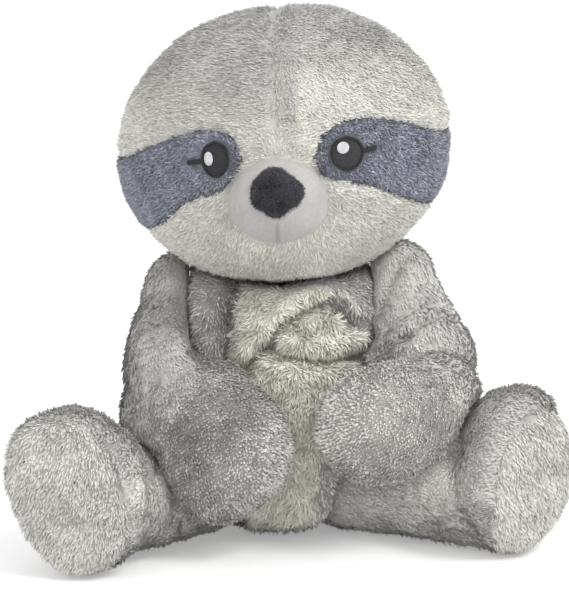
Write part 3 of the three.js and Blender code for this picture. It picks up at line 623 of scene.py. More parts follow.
def headRelief(local):
    x, y, z = local.T
    push = 0.9 * softNoise(local, 60, 3) + 0.45 * softNoise(local, 24, 4)
    push += 2 * headSizes["lopsided"] * (x / headWide) * (z / headHigh)
    front = np.clip(-y / 40, 0, 1)
    deep = np.maximum(blendIn(z, 8, 40), 0.6 * bell(z + 58, 8) * front)
    push -= headSizes["seamDepth"] * bell(x, headSizes["seamWidth"]) * np.maximum(0.12, deep)
    for side in (1, -1):
        push -= headSizes["maskGroove"] * bell(maskDistance(local, side), 3)
    return push - 2.0 * bell((muzzleShare(local, 1.5, 2) - 1) * 34, 4) * (y < 0)


def headShades(points):
    local = toHead(points)
    x, y, z = local.T
    left = 34 - 0.16 * (x + 60) + 9 * softNoise(local, 42, 21)
    right = 66 - 0.0045 * (x - 60)**2 + 2.5 * softNoise(local, 30, 22)
    edge = np.where(x < 12, left, right)
    creamShare = 1 / (1 + np.exp((z - edge) / np.where(x < 12, 17, 4.5)))
    creamShare *= 1 - 0.85 * np.clip((y - 10) / 30, 0, 1)
    shade = 0.05 * softNoise(local, 38, 23) + 0.05 * softNoise(local, 9, 24)
    # painted shade: the front of the head darkens toward the toy's left, the side the key light falls on
    shade -= 0.12 * blendIn(x, 10, 70) * (y < 20)
    return {"cream": creamShare, "shade": shade - 0.05 * bell(x, 2.0) * blendIn(z, 10, 40)}


def headComb(points):
    x, y, z = toHead(points).T
    crown = 1 / (1 + np.exp(-(z - 24) / 8))
    leftward = np.clip(-x / 10, 0, 1)
    chin = bell(x, 9) * blendIn(-z, 50, 62)
    radialX, radialZ = (x - muzzleSizes["aside"]) / 40, (z + muzzleSizes["drop"]) / 40
    way = np.stack([
        crown * (np.tanh(x / 5) * 0.7 - 0.6 * leftward) + (1 - crown) * (radialX * (1 - chin) - 0.9 * chin),
        np.clip((y + 20) / 60, 0, 1) * 0.8,
        crown * (-0.75 + 0.6 * leftward) + (1 - crown) * (radialZ - 0.55),
    ], axis=-1)
    return way @ headAxes.T


# half of the head in its own frame: the plain form, the same with its relief, and the faces
def halfHead(side, spacing):
    low, high = (-math.pi / 2, math.pi / 2) if side > 0 else (math.pi / 2, 1.5 * math.pi)
    grid, ends = formGrid(headForm, spacing, -headSizes["skinDepth"], low, high, closed=False)
    points, faces = closedGrid(grid, ends)
    return points, points + headOut(points) * headRelief(points)[:, None], faces


def headSkin(side):
    plain, points, faces = halfHead(side, headSizes["spacing"])
    points[np.abs(plain[:, 0]) < 0.01, 0] = headSizes["wallAside"] * side
    return fromHead(points), faces


def headKeep(side):
    def keep(root, outward):
        local = toHead(root)
        flatWall = np.abs(local[:, 0]) < 4 * headSizes["wallAside"]
        return ~flatWall & (maskDistance(local, side) > 0.2) & ((muzzleShare(local) > 1) | (local[:, 1] > 0))
    return keep


# beside the middle seam the cloth faces straight out, so the two halves meet without a line
def headEvened(points, normals):
    local = toHead(points)
    out = headOut(local) @ headAxes.T
    share = bell(local[:, 0], 3.5)[:, None]
    return unit(normals * (1 - share) + out * share)


headPileSizes = {"spacing": 1.42, "length": 5.0, "width": 0.62, "lean": 61, "scatter": 0.26, "swirl": 0.22,
                 "ruffle": 9, "thinBehind": 10, "fill": 0.95, "skinTip": 0.35}
for name, side in (("Left", 1), ("Right", -1)):
    pilePiece(f"headCover{name}", headSkin(side), headPileSizes, headComb, headKeep(side), headShades,
              headPile, "head", f"head_cover_{name.lower()}", 30 + side, evened=headEvened)
filling("head_filling", "headFilling", "head", lambda points: headRelief(toHead(points)) - 0.5)

# mask patches: a sheet of denser pile sewn into the head's skin
maskPileSizes = {"spacing": 1.15, "length": 3.6, "width": 0.55, "lean": 40, "scatter": 0.6, "swirl": 0.5,
                 "ruffle": 12, "fill": 0.95, "skinTip": 0.2}


def maskSkin(side):
    plain, points, faces = halfHead(side, 1.8)
    sheet, faces = clothSheet(points, faces, maskDistance(plain, side) < 0.6)
    return fromHead(sheet), faces


# away from the eye beside it, and elsewhere outward and down
def maskComb(side):
    def combed(points):
        x, _, z = toHead(points).T
        eye = eyeOf[side]
        offX, offZ = x - side * eye["centre"][0], z - eye["centre"][1]
        near = bell(np.maximum(0, np.hypot(offX, offZ) - 12), 5)
        away = np.hypot(offX, offZ) + 1e-6
        way = np.stack([near * offX / away + (1 - near) * side * 0.8, np.zeros(len(x)),
                        near * offZ / away - (1 - near) * 0.6], -1)
        return way @ headAxes.T
    return combed


def eyeClear(local, side, room=0.6):
    eye = eyeOf[side]
    x, z = local[:, 0] * side - eye["centre"][0], local[:, 2] - eye["centre"][1]
    lash = (x > 0) & (x < 22.4) & (np.abs(z - eye["lashRise"] * x) < 2.9)
    return (np.hypot(x / (eye["half"][0] + room), z / (eye["half"][1] + room)) > 1) & ~lash


def maskKeep(side):
    def keep(root, outward):
        local = toHead(root)
        out = np.sum((outward @ headAxes) * headOut(local), axis=1) > 0.5
        return out & eyeClear(local, side) & (maskDistance(local, side) < 0.3)
    return keep


def maskShades(side):
    def shades(points):
        local = toHead(points)
        away = maskDistance(local, side)
        # painted shade: the toy's left mask, on the key light's side, is darker
        return {"cream": 0.5 + 0.5 * softNoise(local, 7, 43),
                "shade": 0.07 * softNoise(local, 22, 44) - 0.4 * bell(away, 2.0) - 0.05 * (1 + side)}
    return shades


for name, side in (("Left", 1), ("Right", -1)):
    pilePiece(f"maskPatch{name}", maskSkin(side), maskPileSizes, maskComb(side), maskKeep(side), maskShades(side),
              slatePile, "head", f"mask_patch_{name.lower()}", 40 + side)
print("head covered")

muzzleForm = {
    "path": [(muzzleSizes["aside"], -reach, -muzzleSizes["drop"]) for reach in (46, muzzleSizes["reach"])],
    "facing": (0, 0, 1), "widths": [muzzleSizes["half"][0]] * 2, "depths": [muzzleSizes["half"][1]] * 2,
    "start": (6, 2), "end": (34, 2.2),
}
points, faces = closedGrid(*formGrid(muzzleForm, 0.9))
normals = vertexNormals(points, faces)
below = np.clip((-points[:, 2] - 36) / 6, 0, 1) * np.clip((-points[:, 1] - 60) / 10, 0, 1)
seam = bell(points[:, 0] - muzzleSizes["aside"], 1.2) * below
points = points + normals * (0.35 * softNoise(points, 16, 51) + 0.10 * softNoise(points, 1.7, 52)
                             - muzzleSizes["seamDepth"] * seam)[:, None]
muzzle = meshObject("muzzle", fromHead(points), faces, None, {"shade": -0.15 * seam})
muzzle.data.materials.append(velour)
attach(muzzle, "head")
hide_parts("muzzle_cover")
filling("muzzle_filling", "muzzleFilling", "head", lambda points: np.full(len(points), -0.3))

noseDrop = 19.5
noseForm = {
    "path": [(muzzleSizes["aside"], -reach, -noseDrop) for reach in (92, 121)], "facing": (0, 0, 1),
    "widths": [19, 19], "depths": [17.5, 17.5], "start": (4, 2), "end": (15, 2.2),
}
# how the nose's outline swells: toward which angle, over how wide an angle, and how far
noseSwells = [(12, 24, 2.0), (95, 30, 2.4), (-45, 26, -1.6), (-135, 26, -1.8)]
nosePileSizes = {"spacing": 0.72, "length": 2.6, "width": 0.34, "lean": 38, "scatter": 0.8, "ruffle": 14,
                 "fill": 0.95}


def noseComb(points):
    x, _, z = toHead(points).T
    return np.stack([x - muzzleSizes["aside"], np.full(len(x), -4.0), z + 15], -1) @ headAxes.T


points, faces = closedGrid(*formGrid(noseForm, 1.2, -1.0))
offX, offZ = points[:, 0] - muzzleSizes["aside"], points[:, 2] + noseDrop
corner = np.degrees(np.arctan2(offZ, offX))
swell = sum(far * bell(corner - toward, wide) for toward, wide, far in noseSwells)
rim = blendIn(np.hypot(offX, offZ), 6, 15)
points[:, [0, 2]] += unit(np.column_stack([offX, offZ])) * (swell * rim)[:, None]
pilePiece("nose", (fromHead(points), faces), nosePileSizes, noseComb,
          lambda root, outward: toHead(root)[:, 1] < -96,
          lambda points: {"cream": np.zeros(len(points)), "shade": np.zeros(len(points))},
          blackPile, "head", "nose", 53)


# depth of the head's front under a place in X and Z
def headFront(x, z, grow):
    plump = 2.07
    ring = (1 - np.minimum(1, np.abs(z) / (headHigh + grow))**plump)**(1 / plump)
    share = np.clip(1 - (x / ((headWide + grow) * ring))**2, 0, 1)
    return -(headDeep + grow) * ring * np.sqrt(share)


def onFront(flat, grow, lift=0):
    return np.column_stack([flat[:, 0], headFront(flat[:, 0], flat[:, 1], grow) - lift, flat[:, 1]])


# embroidered fill: fine ridges of thread over a low dome
def satinFill(outline, low, dome, ridge, tilt):
    centre = outline.mean(axis=0)
    rings, count = 26, len(outline)
    shares = np.linspace(1, 0, rings, endpoint=False)
    flat = np.vstack([centre + (outline - centre) * share for share in shares] + [centre[None]])
    edge = np.concatenate([np.repeat(shares, count), [0]])
    across = flat[:, 0] * math.sin(tilt) + flat[:, 1] * math.cos(tilt)
    lift = dome * np.sqrt(np.clip(1 - edge**3, 0, 1)) + ridge * np.sin(across * 2 * math.pi / 0.85) * (edge < 0.97)
    top = onFront(flat, low, lift)
    bottom = onFront(np.vstack([outline, centre]), low - 3)
    index = np.arange(rings * count).reshape(rings, count)
    following = np.roll(index, -1, axis=1)
    start = rings * count + 1
    low, lowNext = start + np.arange(count), start + np.roll(np.arange(count), -1)
    faces = np.vstack([
        np.stack([index[:-1], following[:-1], following[1:]], -1).reshape(-1, 3),
        np.stack([index[:-1], following[1:], index[1:]], -1).reshape(-1, 3),
        np.stack([index[-1], following[-1], np.full(count, rings * count)], -1),
        np.stack([index[0], low, lowNext], -1), np.stack([index[0], lowNext, following[0]], -1),
        np.stack([lowNext, low, np.full(count, start + count)], -1)])
    return np.vstack([top, bottom]), faces


# embroidered cord: a raised band of close stitches that run across it
def satinCord(line, half, low, height, closed):
    way = unit(np.roll(line, -1, axis=0) - np.roll(line, 1, axis=0) if closed else np.gradient(line, axis=0))
    side = np.column_stack([-way[:, 1], way[:, 0]])
    steps = np.linalg.norm(np.diff(line, axis=0), axis=1)
    walked = np.concatenate([[0], np.cumsum(steps)])
    taper = np.ones(len(line)) if closed else np.sqrt(np.clip(1 - np.linspace(-1, 1, len(line))**8, 0.02, 1))
    beside = lambda share: line + side * (half * share * taper)[:, None]
    stitches = 0.08 * np.sin(walked * 2 * math.pi / 0.8)
    rows = [onFront(beside(share), low, height * np.sqrt(1 - share * share) * taper + stitches * (1 - share**2))
            for share in np.linspace(-1, 1, 9)]
    rows = np.array(rows + [onFront(beside(share), low - 2.4) for share in (0.5, -0.5)])
    ringCount, count = rows.shape[:2]
    index = np.arange(ringCount * count).reshape(ringCount, count)
    around = np.roll(index, -1, axis=0)
    last = count if closed else count - 1
    following = np.roll(index, -1, axis=1)[:, :last]
    aroundNext = np.roll(around, -1, axis=1)[:, :last]
    faces = [np.stack([index[:, :last], around[:, :last], aroundNext], -1).reshape(-1, 3),
             np.stack([index[:, :last], aroundNext, following], -1).reshape(-1, 3)]
    if not closed:
        fan = np.arange(1, ringCount - 1)
        faces += [np.stack([np.full(len(fan), index[0, 0]), index[fan + 1, 0], index[fan, 0]], -1),
                  np.stack([np.full(len(fan), index[0, -1]), index[fan, -1], index[fan + 1, -1]], -1)]
    return rows.reshape(-1, 3), np.vstack(faces)


# faces turned so that the closed mesh has its outside outward
def outwardFaces(points, faces):
    volume = np.sum(np.cross(points[faces[:, 0]], points[faces[:, 1]]) * points[faces[:, 2]])
    return faces if volume > 0 else faces[:, ::-1]


# several stitched parts as one piece: with black thread, the first part is sewn in the fill thread and the rest in the
# edge thread
def embroidered(name, parts, slot, replaced):
    points, faces, looks, count = [], [], [], 0
    for number, (partPoints, partFaces) in enumerate(parts):
        points.append(partPoints)
        faces.append(outwardFaces(partPoints, partFaces) + count)
        looks.append(np.full(len(partFaces), min(number, 1)))
        count += len(partPoints)
    made = meshObject(name, fromHead(np.vstack(points)), np.vstack(faces))
    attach(made, "head")
    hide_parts(replaced)
    made.data.materials.append(whiteThread if slot == "thread_white" else blackThread)
    if slot == "thread_black":
        made.data.materials.append(edgeThread)
        made.data.polygons.foreach_set("material_index", np.concatenate(looks).astype(np.int32))


def eyeOutline(eye):
    w, h = eye["half"]
    shape = np.array([
        [0, h], [0.72 * w, 0.68 * h], [w, 0.06 * h], [0.66 * w, -0.74 * h], [0, -h],
        [-0.72 * w, -0.6 * h], [-0.92 * w, 0], [-0.72 * w, 0.7 * h]]) + np.array(eye["centre"])
    shape[:, 0] *= eye["side"]
    return smoothLoop(shape, 200)


for name, eye in eyeSizes.items():
    outline = eyeOutline(eye)
    centre = np.array(eye["centre"]) * [eye["side"], 1]
    inner = centre + (outline - centre) * 0.95
    lashX = np.linspace(eye["half"][0] - 2, 20.6, 50)
    lash = np.column_stack([eye["side"] * (eye["centre"][0] + lashX), eye["centre"][1] + eye["lashRise"] * lashX - 0.2])
    embroidered(f"eye{name}", [
        satinFill(inner[::3], 0.5, 0.8, 0.08, 0.2 * eye["side"]), satinCord(inner, 1.0, 0.6, 1.3, True),
        satinCord(lash, 1.8, 0.6, 1.7, False)], "thread_black", f"eye_{name.lower()}")
    x, z, wide, high = eye["glint"]
    angles = np.linspace(0, 2 * math.pi, 48, endpoint=False)
    glint = np.column_stack([centre[0] + x + wide * np.cos(angles), centre[1] + z + high * np.sin(angles)])
    embroidered(f"eyeGlint{name}", [satinFill(glint, 1.5, 0.8, 0.12, 0.9)], "thread_white", f"eye_glint_{name.lower()}")
print("face made")

torsoSizes = {"skinDepth": 1.9, "gap": 0.3, "armRoom": 1.6, "facetRoom": 1.6, "recess": 32.3, "shoulderHeight": 170}
torsoForm = {
    "path": [(0, 0, -0.5), (0, 2, 111), (0, 8, 222)], "facing": (0, -1, 0),
    "widths": [88, 92, 84, 75, 64], "depths": [72, 76, 69, 60, 50], "start": (46, 2.8), "end": (58, 2.2),
}

# places along each sleeve from its shoulder: outward, back and up
shoulders = {-1: np.array([-66.0, 2, 170]), 1: np.array([66.0, 2, 170])}
sleeves = {
    -1: [{"places": [(-6, 4, 34), (6, -10, -2), (10, -46, -38), (-5, -78, -69), (-30, -100, -94), (-62, -110, -117)],
          "widths": [27, 31, 37, 47, 51, 48], "depths": [27, 32, 35, 34, 32, 29], "start": 27, "end": 43}],
    1: [{"places": [(4, 4, 36), (18, -12, -4), (35, -52, -58)], "widths": [27, 35, 44],
         "depths": [27, 33, 36], "start": 27, "end": 36},
        {"places": [(64, -48, -56), (36, -78, -65), (0, -98, -71), (-40, -106, -68)],
         "widths": [35, 41, 43, 38], "depths": [32, 35, 33, 29], "start": 36, "end": 43}],
}


def armForm(side, shape):
    path = [shoulders[side] + np.array([side * aside, back, up]) for aside, back, up in shape["places"]]
    return {"path": path, "facing": (0, -1, 0), "widths": shape["widths"], "depths": shape["depths"],
            "start": (shape["start"], 2), "end": (shape["end"], 2.3)}


armForms = {side: [armForm(side, shape) for shape in shapes] for side, shapes in sleeves.items()}
legSizes = {
    "reach": 108, "soleReach": 44, "widths": [36, 37, 38, 46, 50], "heights": [35, 35, 42, 57, 61],
    "hipRound": 36, "soleRound": 20, "rollStart": 0.45, "turnLimit": 15, "swingSpare": 4.2,
    -1: {"hip": (60, 34), "splay": 44, "soleTurn": 5, "roll": 0.28},
    1: {"hip": (50, 22), "splay": 66, "soleTurn": 46, "roll": 0.06},
}


def legForm(side, swing=0):
    lay, heights = legSizes[side], legSizes["heights"]
    hip = np.array([side * lay["hip"][0], -lay["hip"][1], 0.0])
    heading = lambda angle: np.array([math.sin(math.radians(angle)), -math.cos(math.radians(angle)), 0])
    outward, sole = heading(side * (lay["splay"] + swing)), heading(side * (lay["soleTurn"] + swing))
    ankle = hip + outward * legSizes["reach"]
    places = [hip - outward * legSizes["hipRound"], hip, hip + outward * legSizes["reach"] / 2, ankle,
              ankle + sole * legSizes["soleReach"]]
    path = [(x, y, height - 0.5) for (x, y, _), height in zip(places, heights)]
    return {"path": path, "facing": (0, 0, 1), "endFacing": unit(np.array([side * lay["roll"], 0, 1.0])),
            "upright": True, "widths": legSizes["widths"], "depths": heights, "rollStart": legSizes["rollStart"],
            "swing": swing + legSizes["swingSpare"] if swing else 0, "hip": hip, "sole": sole,
            "start": (legSizes["hipRound"], 2), "end": (legSizes["soleRound"], 2.6), "soleCentre": np.array(path[-1])}


legForms = {side: legForm(side) for side in (-1, 1)}
solid = lambda form, grow: closedGrid(*formGrid(form, 5, grow))


# the room that the head takes as it turns on the neck
def headSweep(grow):
    grid, ends = formGrid(headForm, 6, grow)
    angles = np.linspace(0, 2 * math.pi, grid.shape[1], endpoint=False)
    wide = np.abs(grid[:, :, 0]).max(axis=1)[:, None]
    deep = np.abs(grid[:, :, 1]).max(axis=1)[:, None]
    fromWidth = np.arctan2(np.abs(np.sin(angles)), np.abs(np.cos(angles)))[None]
    nearest = np.maximum(0, fromWidth - math.radians(20))
    reach = wide * deep / np.hypot(deep * np.cos(nearest), wide * np.sin(nearest))
    swept = np.stack([reach * np.cos(angles), -reach * np.sin(angles), grid[:, :, 2]], -1)
    points, faces = closedGrid(swept, ends)
    return fromHead(points), faces


def legSweep(side, grow):
    points, faces = solid(legForms[side], grow)
    return [(turnedAbout(points, legForms[side]["hip"], (0, 0, 1), side * angle), faces)
            for angle in (0, legSizes["turnLimit"] / 2, legSizes["turnLimit"])]


# closed block between two rings
def blockBetween(near, far):
    grid = np.stack([near, far])
    points, faces = closedGrid(grid, grid.mean(axis=1))
    return points, outwardFaces(points - points.mean(axis=0), faces)


# round disc of room where a shoulder turns
def shoulderRecess(side, grow):
    angles = np.linspace(0, 2 * math.pi, 48, endpoint=False)
    ring = (torsoSizes["recess"] - grow) * np.column_stack([np.zeros(48), np.cos(angles), np.sin(angles)])
    return blockBetween(shoulders[side] + ring + [side * grow, 0, 0], shoulders[side] + ring + [side * 120, 0, 0])


# the space between the shoulders' flats, above the arms' pits
def shoulderBlock(room):
    half = shoulders[1][0] + room
    ring = np.array([[-half, -90, 0], [half, -90, 0], [half, 90, 0], [-half, 90, 0]])
    return blockBetween(ring + [0, 0, 138], ring + [0, 0, 270])


# one closed skin: forms joined, then cut by what they have to stay clear of, and evened out
def cutSkin(forms, cutters, voxel, smoothing):
    parts = [meshObject("part", points, outwardFaces(points - points.mean(axis=0), faces))
             for points, faces in forms + cutters]
    for number, other in enumerate(parts[1:], 1):
        cut = parts[0].modifiers.new("cut", "BOOLEAN")
        cut.operation, cut.object, cut.solver = ("UNION" if number < len(forms) else "DIFFERENCE"), other, "MANIFOLD"
    if voxel:
        remesh = parts[0].modifiers.new("even", "REMESH")
        remesh.mode, remesh.voxel_size = "VOXEL", voxel * mm
        smooth = parts[0].modifiers.new("smooth", "SMOOTH")
        smooth.factor, smooth.iterations = 0.5, smoothing
    result = meshArrays(parts[0])
    dropped(*parts)
    return result


# Stuffing: the cloth of each skin, a little too large for its seams, is blown up by its filling
# while the seams hold still. What it gives is how far each place of the skin moves.
stuffing = {"pressure": 4.0, "slack": -0.05, "frames": 20, "cap": 3.5, "stiffness": 12, "bending": 0.6}


def stuffed(skins):
    cloths = []
    for points, faces, seams in skins:
        cloth = meshObject("cloth", points, faces)
        group = cloth.vertex_groups.new(name="seams")
        for step in range(0, 11):
            near = np.where(np.round(seams * 10) == step)[0]
            if len(near):
                group.add(near.tolist(), step / 10, "REPLACE")
        made = cloth.modifiers.new("stuffing", "CLOTH")
        made.settings.quality = 5
        made.settings.mass = 0.3
        made.settings.tension_stiffness = made.settings.compression_stiffness = stuffing["stiffness"]
        made.settings.shear_stiffness, made.settings.bending_stiffness = 5, stuffing["bending"]
        made.settings.use_pressure = True
        made.settings.uniform_pressure_force = stuffing["pressure"]
        made.settings.shrink_min = stuffing["slack"]
        made.settings.vertex_group_mass = "seams"
        made.settings.effector_weights.gravity = 0
        made.collision_settings.use_collision = False
        cloths.append(cloth)
    for number in range(1, stuffing["frames"] + 1):
        bpy.context.scene.frame_set(number)
    results = []
    for cloth, (points, faces, seams) in zip(cloths, skins):
        swollen = meshArrays(cloth)[0]
        moved = swollen - points
        reach = np.linalg.norm(moved, axis=1, keepdims=True)
        moved *= np.minimum(1, stuffing["cap"] / np.maximum(reach, 1e-6)) * (1 - seams)[:, None]
        results.append(points + moved)
        print("stuffed:", len(points), "places, moved", round(float(np.linalg.norm(moved, axis=1).mean()), 2), "mm")
    dropped(*cloths)
    bpy.context.scene.frame_set(1)
    return results


# twice as fine, and rounded
def refined(points, faces):
    coarse = meshObject("coarse", points, faces)
    finer = coarse.modifiers.new("finer", "SUBSURF")
    finer.levels = 1
    result = meshArrays(coarse)
    dropped(coarse)
    return result


def nearTree(tree, points, reach):
    return np.array([tree.find_nearest(place, reach)[0] is not None for place in points.tolist()])


# pushes a skin outward where something stiff inside it would show through
def coverOver(points, faces, nodes, room, probe=12):
    normals = vertexNormals(points, faces)
    push = np.zeros(len(points))
    for node in nodes:
        copy = bpy.data.objects.new("inside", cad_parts[node].data.copy())
        copy.matrix_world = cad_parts[node].matrix_world
        bpy.context.scene.collection.objects.link(copy)
        bpy.context.view_layer.update()
        inner, innerFaces = meshArrays(copy)
        inner = inner @ np.array(copy.matrix_world)[:3, :3].T + np.array(copy.matrix_world)[:3, 3] / mm
        dropped(copy)
        tree = BVHTree.FromPolygons(inner.tolist(), innerFaces.tolist())
        for index in np.where(nearTree(tree, points, 14))[0]:
            start, way = points[index] - normals[index] * probe, normals[index]
            walked = 0.0
            while True:
                hit, _, _, reach = tree.ray_cast((start + way * walked).tolist(), way.tolist(), 2 * probe - walked)
                if hit is None:
                    break
                walked += reach + 0.01
                push[index] = max(push[index], walked - probe + room)
    return points + normals * push[:, None]


def nearTo(points, cutters, reach):
    near = np.zeros(len(points), bool)
    for cutPoints, cutFaces in cutters:
        near |= nearTree(BVHTree.FromPolygons(cutPoints.tolist(), cutFaces.tolist()), points, reach)
    return near


depth = torsoSizes["skinDepth"]
room = torsoSizes["gap"] + depth
headRoom = torsoSizes["gap"] + 1.2
torsoCutters = [headSweep(headRoom)] + [shoulderRecess(side, -0.2) for side in (-1, 1)]
torsoCutters += [solid(legForm(side, legSizes["turnLimit"] / 2), room + torsoSizes["facetRoom"]) for side in (-1, 1)]
startDepth = depth + 0.8  # the cloth swells from a slightly smaller shape
torsoSkin = cutSkin([solid(torsoForm, -startDepth)], torsoCutters, 5, 4)
armSkins, armCutters = {}, {}
for side in (-1, 1):
    cutters = [cutSkin([solid(torsoForm, room + torsoSizes["armRoom"])], [shoulderRecess(side, 0.2)], 0, 0)]
    cutters.append(shoulderBlock(0.2))
    head = headSweep(headRoom)
    cutters += [(turnedAbout(head[0], shoulders[side], (1, 0, 0), angle), head[1]) for angle in (0, 15, 30, 45)]
    for legSide in (-1, 1):
        cutters += legSweep(legSide, room + torsoSizes["facetRoom"])
    armCutters[side] = cutters
    armSkins[side] = cutSkin([solid(form, -startDepth) for form in armForms[side]], cutters, 4.5, 6)
legSkins = {side: cutSkin([solid(legForms[side], -startDepth)], [], 5, 4) for side in (-1, 1)}
print("skins cut")

bellyOutline = smoothLoop([[0, 8], [20, 14], [27, 60], [63, 109], [58, 159], [31, 204],
                           [-15, 204], [-30, 168], [-34, 140], [-46, 104], [-30, 60], [-26, 14]], 80)
bellyFolds = [
    {"line": [(-27, 129), (-13, 142), (-5, 153), (3, 162), (13, 168), (25, 174), (36, 174), (45, 166), (53, 157)],
     "depth": 6.5, "width": 3.8, "roll": 3.0},
    {"line": [(-8, 146), (2, 140), (13, 136), (34, 134), (56, 135)], "depth": 6.5, "width": 3.8, "roll": 3.0},
    {"line": [(9, 160), (14, 155), (20, 154)], "depth": 4, "width": 3.2, "roll": 1.5},
    {"line": [(-34, 118), (-16, 126), (-4, 140)], "depth": 2, "width": 5, "roll": 1.5},
    {"line": [(4, 76), (16, 75.5), (30, 77)], "depth": 1.4, "width": 1.6, "roll": 0.4},
]

# where the chest falls back beside the belly, and how far the shoulders' backs stand out
chestCrease = [(-22, 205), (-33, 186), (-39, 160), (-39, 134)]
backSwell = {"place": (58, 40, 200), "width": 16, "push": 9}
closingSlit = {"height": 75, "half": 29, "depth": 1.6, "width": 3}


def inBelly(points):
    return np.maximum(outlineDistance(points[:, 0], points[:, 2], bellyOutline), points[:, 1] + 44)


def torsoRelief(points):
    push = 1.2 * softNoise(points, 60, 61) + 0.7 * softNoise(points, 26, 62)
    front = blendIn(-points[:, 1], 15, 35)
    for fold in bellyFolds:
        reach = lineDistance(points, fold["line"])
        push -= fold["depth"] * bell(reach, fold["width"]) * front
        push += fold["roll"] * bell(reach - 2.6 * fold["width"], 1.4 * fold["width"]) * front
    push -= 2.2 * bell(inBelly(points), 3.5) * front
    for side in (-1, 1):
        reach = np.hypot(points[:, 1] - 2, points[:, 2] - torsoSizes["shoulderHeight"])
        push += 2.8 * blendIn(side * points[:, 0], 56, 62) * blendIn(-reach, -48, -42)
        place = np.array(backSwell["place"]) * [side, 1, 1]
        push += backSwell["push"] * bell(distanceFrom(points, place), backSwell["width"])
    push -= 5 * bell(lineDistance(points, chestCrease), 4.5) * front
    above = np.maximum(0, np.abs(points[:, 2] - closingSlit["height"]) - closingSlit["half"])
    slit = bell(np.hypot(points[:, 0], above), closingSlit["width"])
    return push - closingSlit["depth"] * slit * (points[:, 1] > 0)


# the cloth of the chest stands forward beside the arms
def torsoForward(points):
    x, y, z = points.T
    front = blendIn(-y, 0, 18)
    right = 15 * bell((x + 60) / 14, 1) * bell((z - 162) / 28, 1)
    left = 5 * bell((x - 60) / 12, 1) * bell((z - 168) / 24, 1)
    return np.column_stack([np.zeros(len(x)), -(right + left) * front, np.zeros(len(x))])


# creases of the arms: places they run between, how deep and how wide
armCreases = {
    -1: [{"ends": ((-96, -30, 150), (-60, -62, 118)), "depth": 2.2, "width": 6},
         {"ends": ((-108, -60, 118), (-70, -84, 110)), "depth": 1.6, "width": 7}],
    1: [{"ends": ((66, -52, 139), (88, -57, 153)), "depth": 4, "width": 3.2},
        {"ends": ((88, -57, 153), (112, -44, 168)), "depth": 3.5, "width": 3.2},
        {"ends": ((71, -36, 168), (86, -20, 201)), "depth": 2.5, "width": 4}],
}


def creaseRelief(points, creases):
    push = np.zeros(len(points))
    for crease in creases:
        a, b = (np.array(end, float) for end in crease["ends"])
        share = np.clip((points - a) @ (b - a) / np.sum((b - a)**2), 0, 1)
        reach = np.linalg.norm(points - a - share[:, None] * (b - a), axis=1)
        push -= crease["depth"] * bell(reach, crease["width"])
        push += 0.5 * crease["depth"] * bell(reach - 2.4 * crease["width"], 1.4 * crease["width"])
    return push


# places where the stuffing pushes the cloth out: where, how wide and how far
armBulges = {
    -1: [((-99, -74, 80), 20, 9), ((-92, -112, 64), 20, 4), ((-112, -40, 160), 34, -3)],
    1: [((104, -4, 210), 26, 7), ((92, 30, 216), 24, 13), ((132, -40, 112), 28, 11), ((124, -22, 152), 30, 4)],
}
legBulges = {
    -1: [((-168, -132, 104), 32, 6), ((-186, -132, 20), 30, -5)],
    1: [((172, -70, 108), 30, 4)],
}
legCreases = {
    -1: [{"ends": ((-99, -139, 82), (-92, -136, 60)), "depth": 2.6, "width": 5},
         {"ends": ((-92, -136, 60), (-97, -144, 36)), "depth": 2.6, "width": 5}],
    1: [{"ends": ((120, -98, 88), (118, -95, 62)), "depth": 1.5, "width": 8}],
}


def bulgeRelief(points, bulges):
    return sum(far * bell(distanceFrom(points, centre), wide) for centre, wide, far in bulges)


def armRelief(side):
    def relief(points):
        noise = 1.1 * softNoise(points, 48, 70 + side) + 0.7 * softNoise(points, 22, 75 + side)
        return noise + creaseRelief(points, armCreases[side]) + bulgeRelief(points, armBulges[side])
    return relief


# the sole: how far outward and up it is sewn on, and its half sizes
soleSizes = {-1: {"out": 11, "up": 0, "half": (40, 57)}, 1: {"out": 7, "up": -7, "half": (42, 51)}}


def soleAway(side, points):
    form, sole = legForms[side], soleSizes[side]
    offset = points - form["soleCentre"]
    across = -side * unit(np.cross(form["sole"], form["endFacing"]))
    high = offset @ (-side * np.cross(across, form["sole"])) - sole["up"]
    wide = (offset @ across - sole["out"]) / sole["half"][0]
    oval = (np.abs(wide)**2.4 + np.abs(high / sole["half"][1])**2.4)**(1 / 2.4)
    return np.maximum((oval - 1) * 46, -25 - offset @ form["sole"])


def legRelief(side):
    def relief(points):
        noise = 1.0 * softNoise(points, 50, 90 + side) + 0.6 * softNoise(points, 24, 92 + side)
        noise += creaseRelief(points, legCreases[side]) + bulgeRelief(points, legBulges[side])
        return noise - 1.6 * bell(soleAway(side, points), 3.2)
    return relief


def seamPins(points, cutters, seams):
    pins = np.maximum(nearTo(points, cutters, 2.5 + startDepth - depth), points[:, 2] < 5).astype(float)
    return np.maximum(pins, np.clip(seams, 0, 1))


points, faces = torsoSkin
foldReach = np.min([lineDistance(points, fold["line"]) for fold in bellyFolds[:4]], axis=0)
torsoSeams = np.maximum(bell(inBelly(points), 4), bell(foldReach, 4) * (points[:, 1] < -20))
skins = [(points, faces, seamPins(points, torsoCutters, torsoSeams))]
for side in (-1, 1):
    points, faces = armSkins[side]
    creased = -0.6 * np.minimum(0, creaseRelief(points, armCreases[side]))
    skins.append((points, faces, seamPins(points, armCutters[side], creased)))
for side in (-1, 1):
    points, faces = legSkins[side]
    # the leg keeps its shape where it turns against the torso
    hipReach = distanceFrom(points, legForms[side]["hip"] + [0, 0, 35])
    held = np.maximum(bell(soleAway(side, points), 4), blendIn(-hipReach, -62, -46))
    skins.append((points, faces, seamPins(points, [], held)))
swollen = stuffed(skins)
print("bodies stuffed")


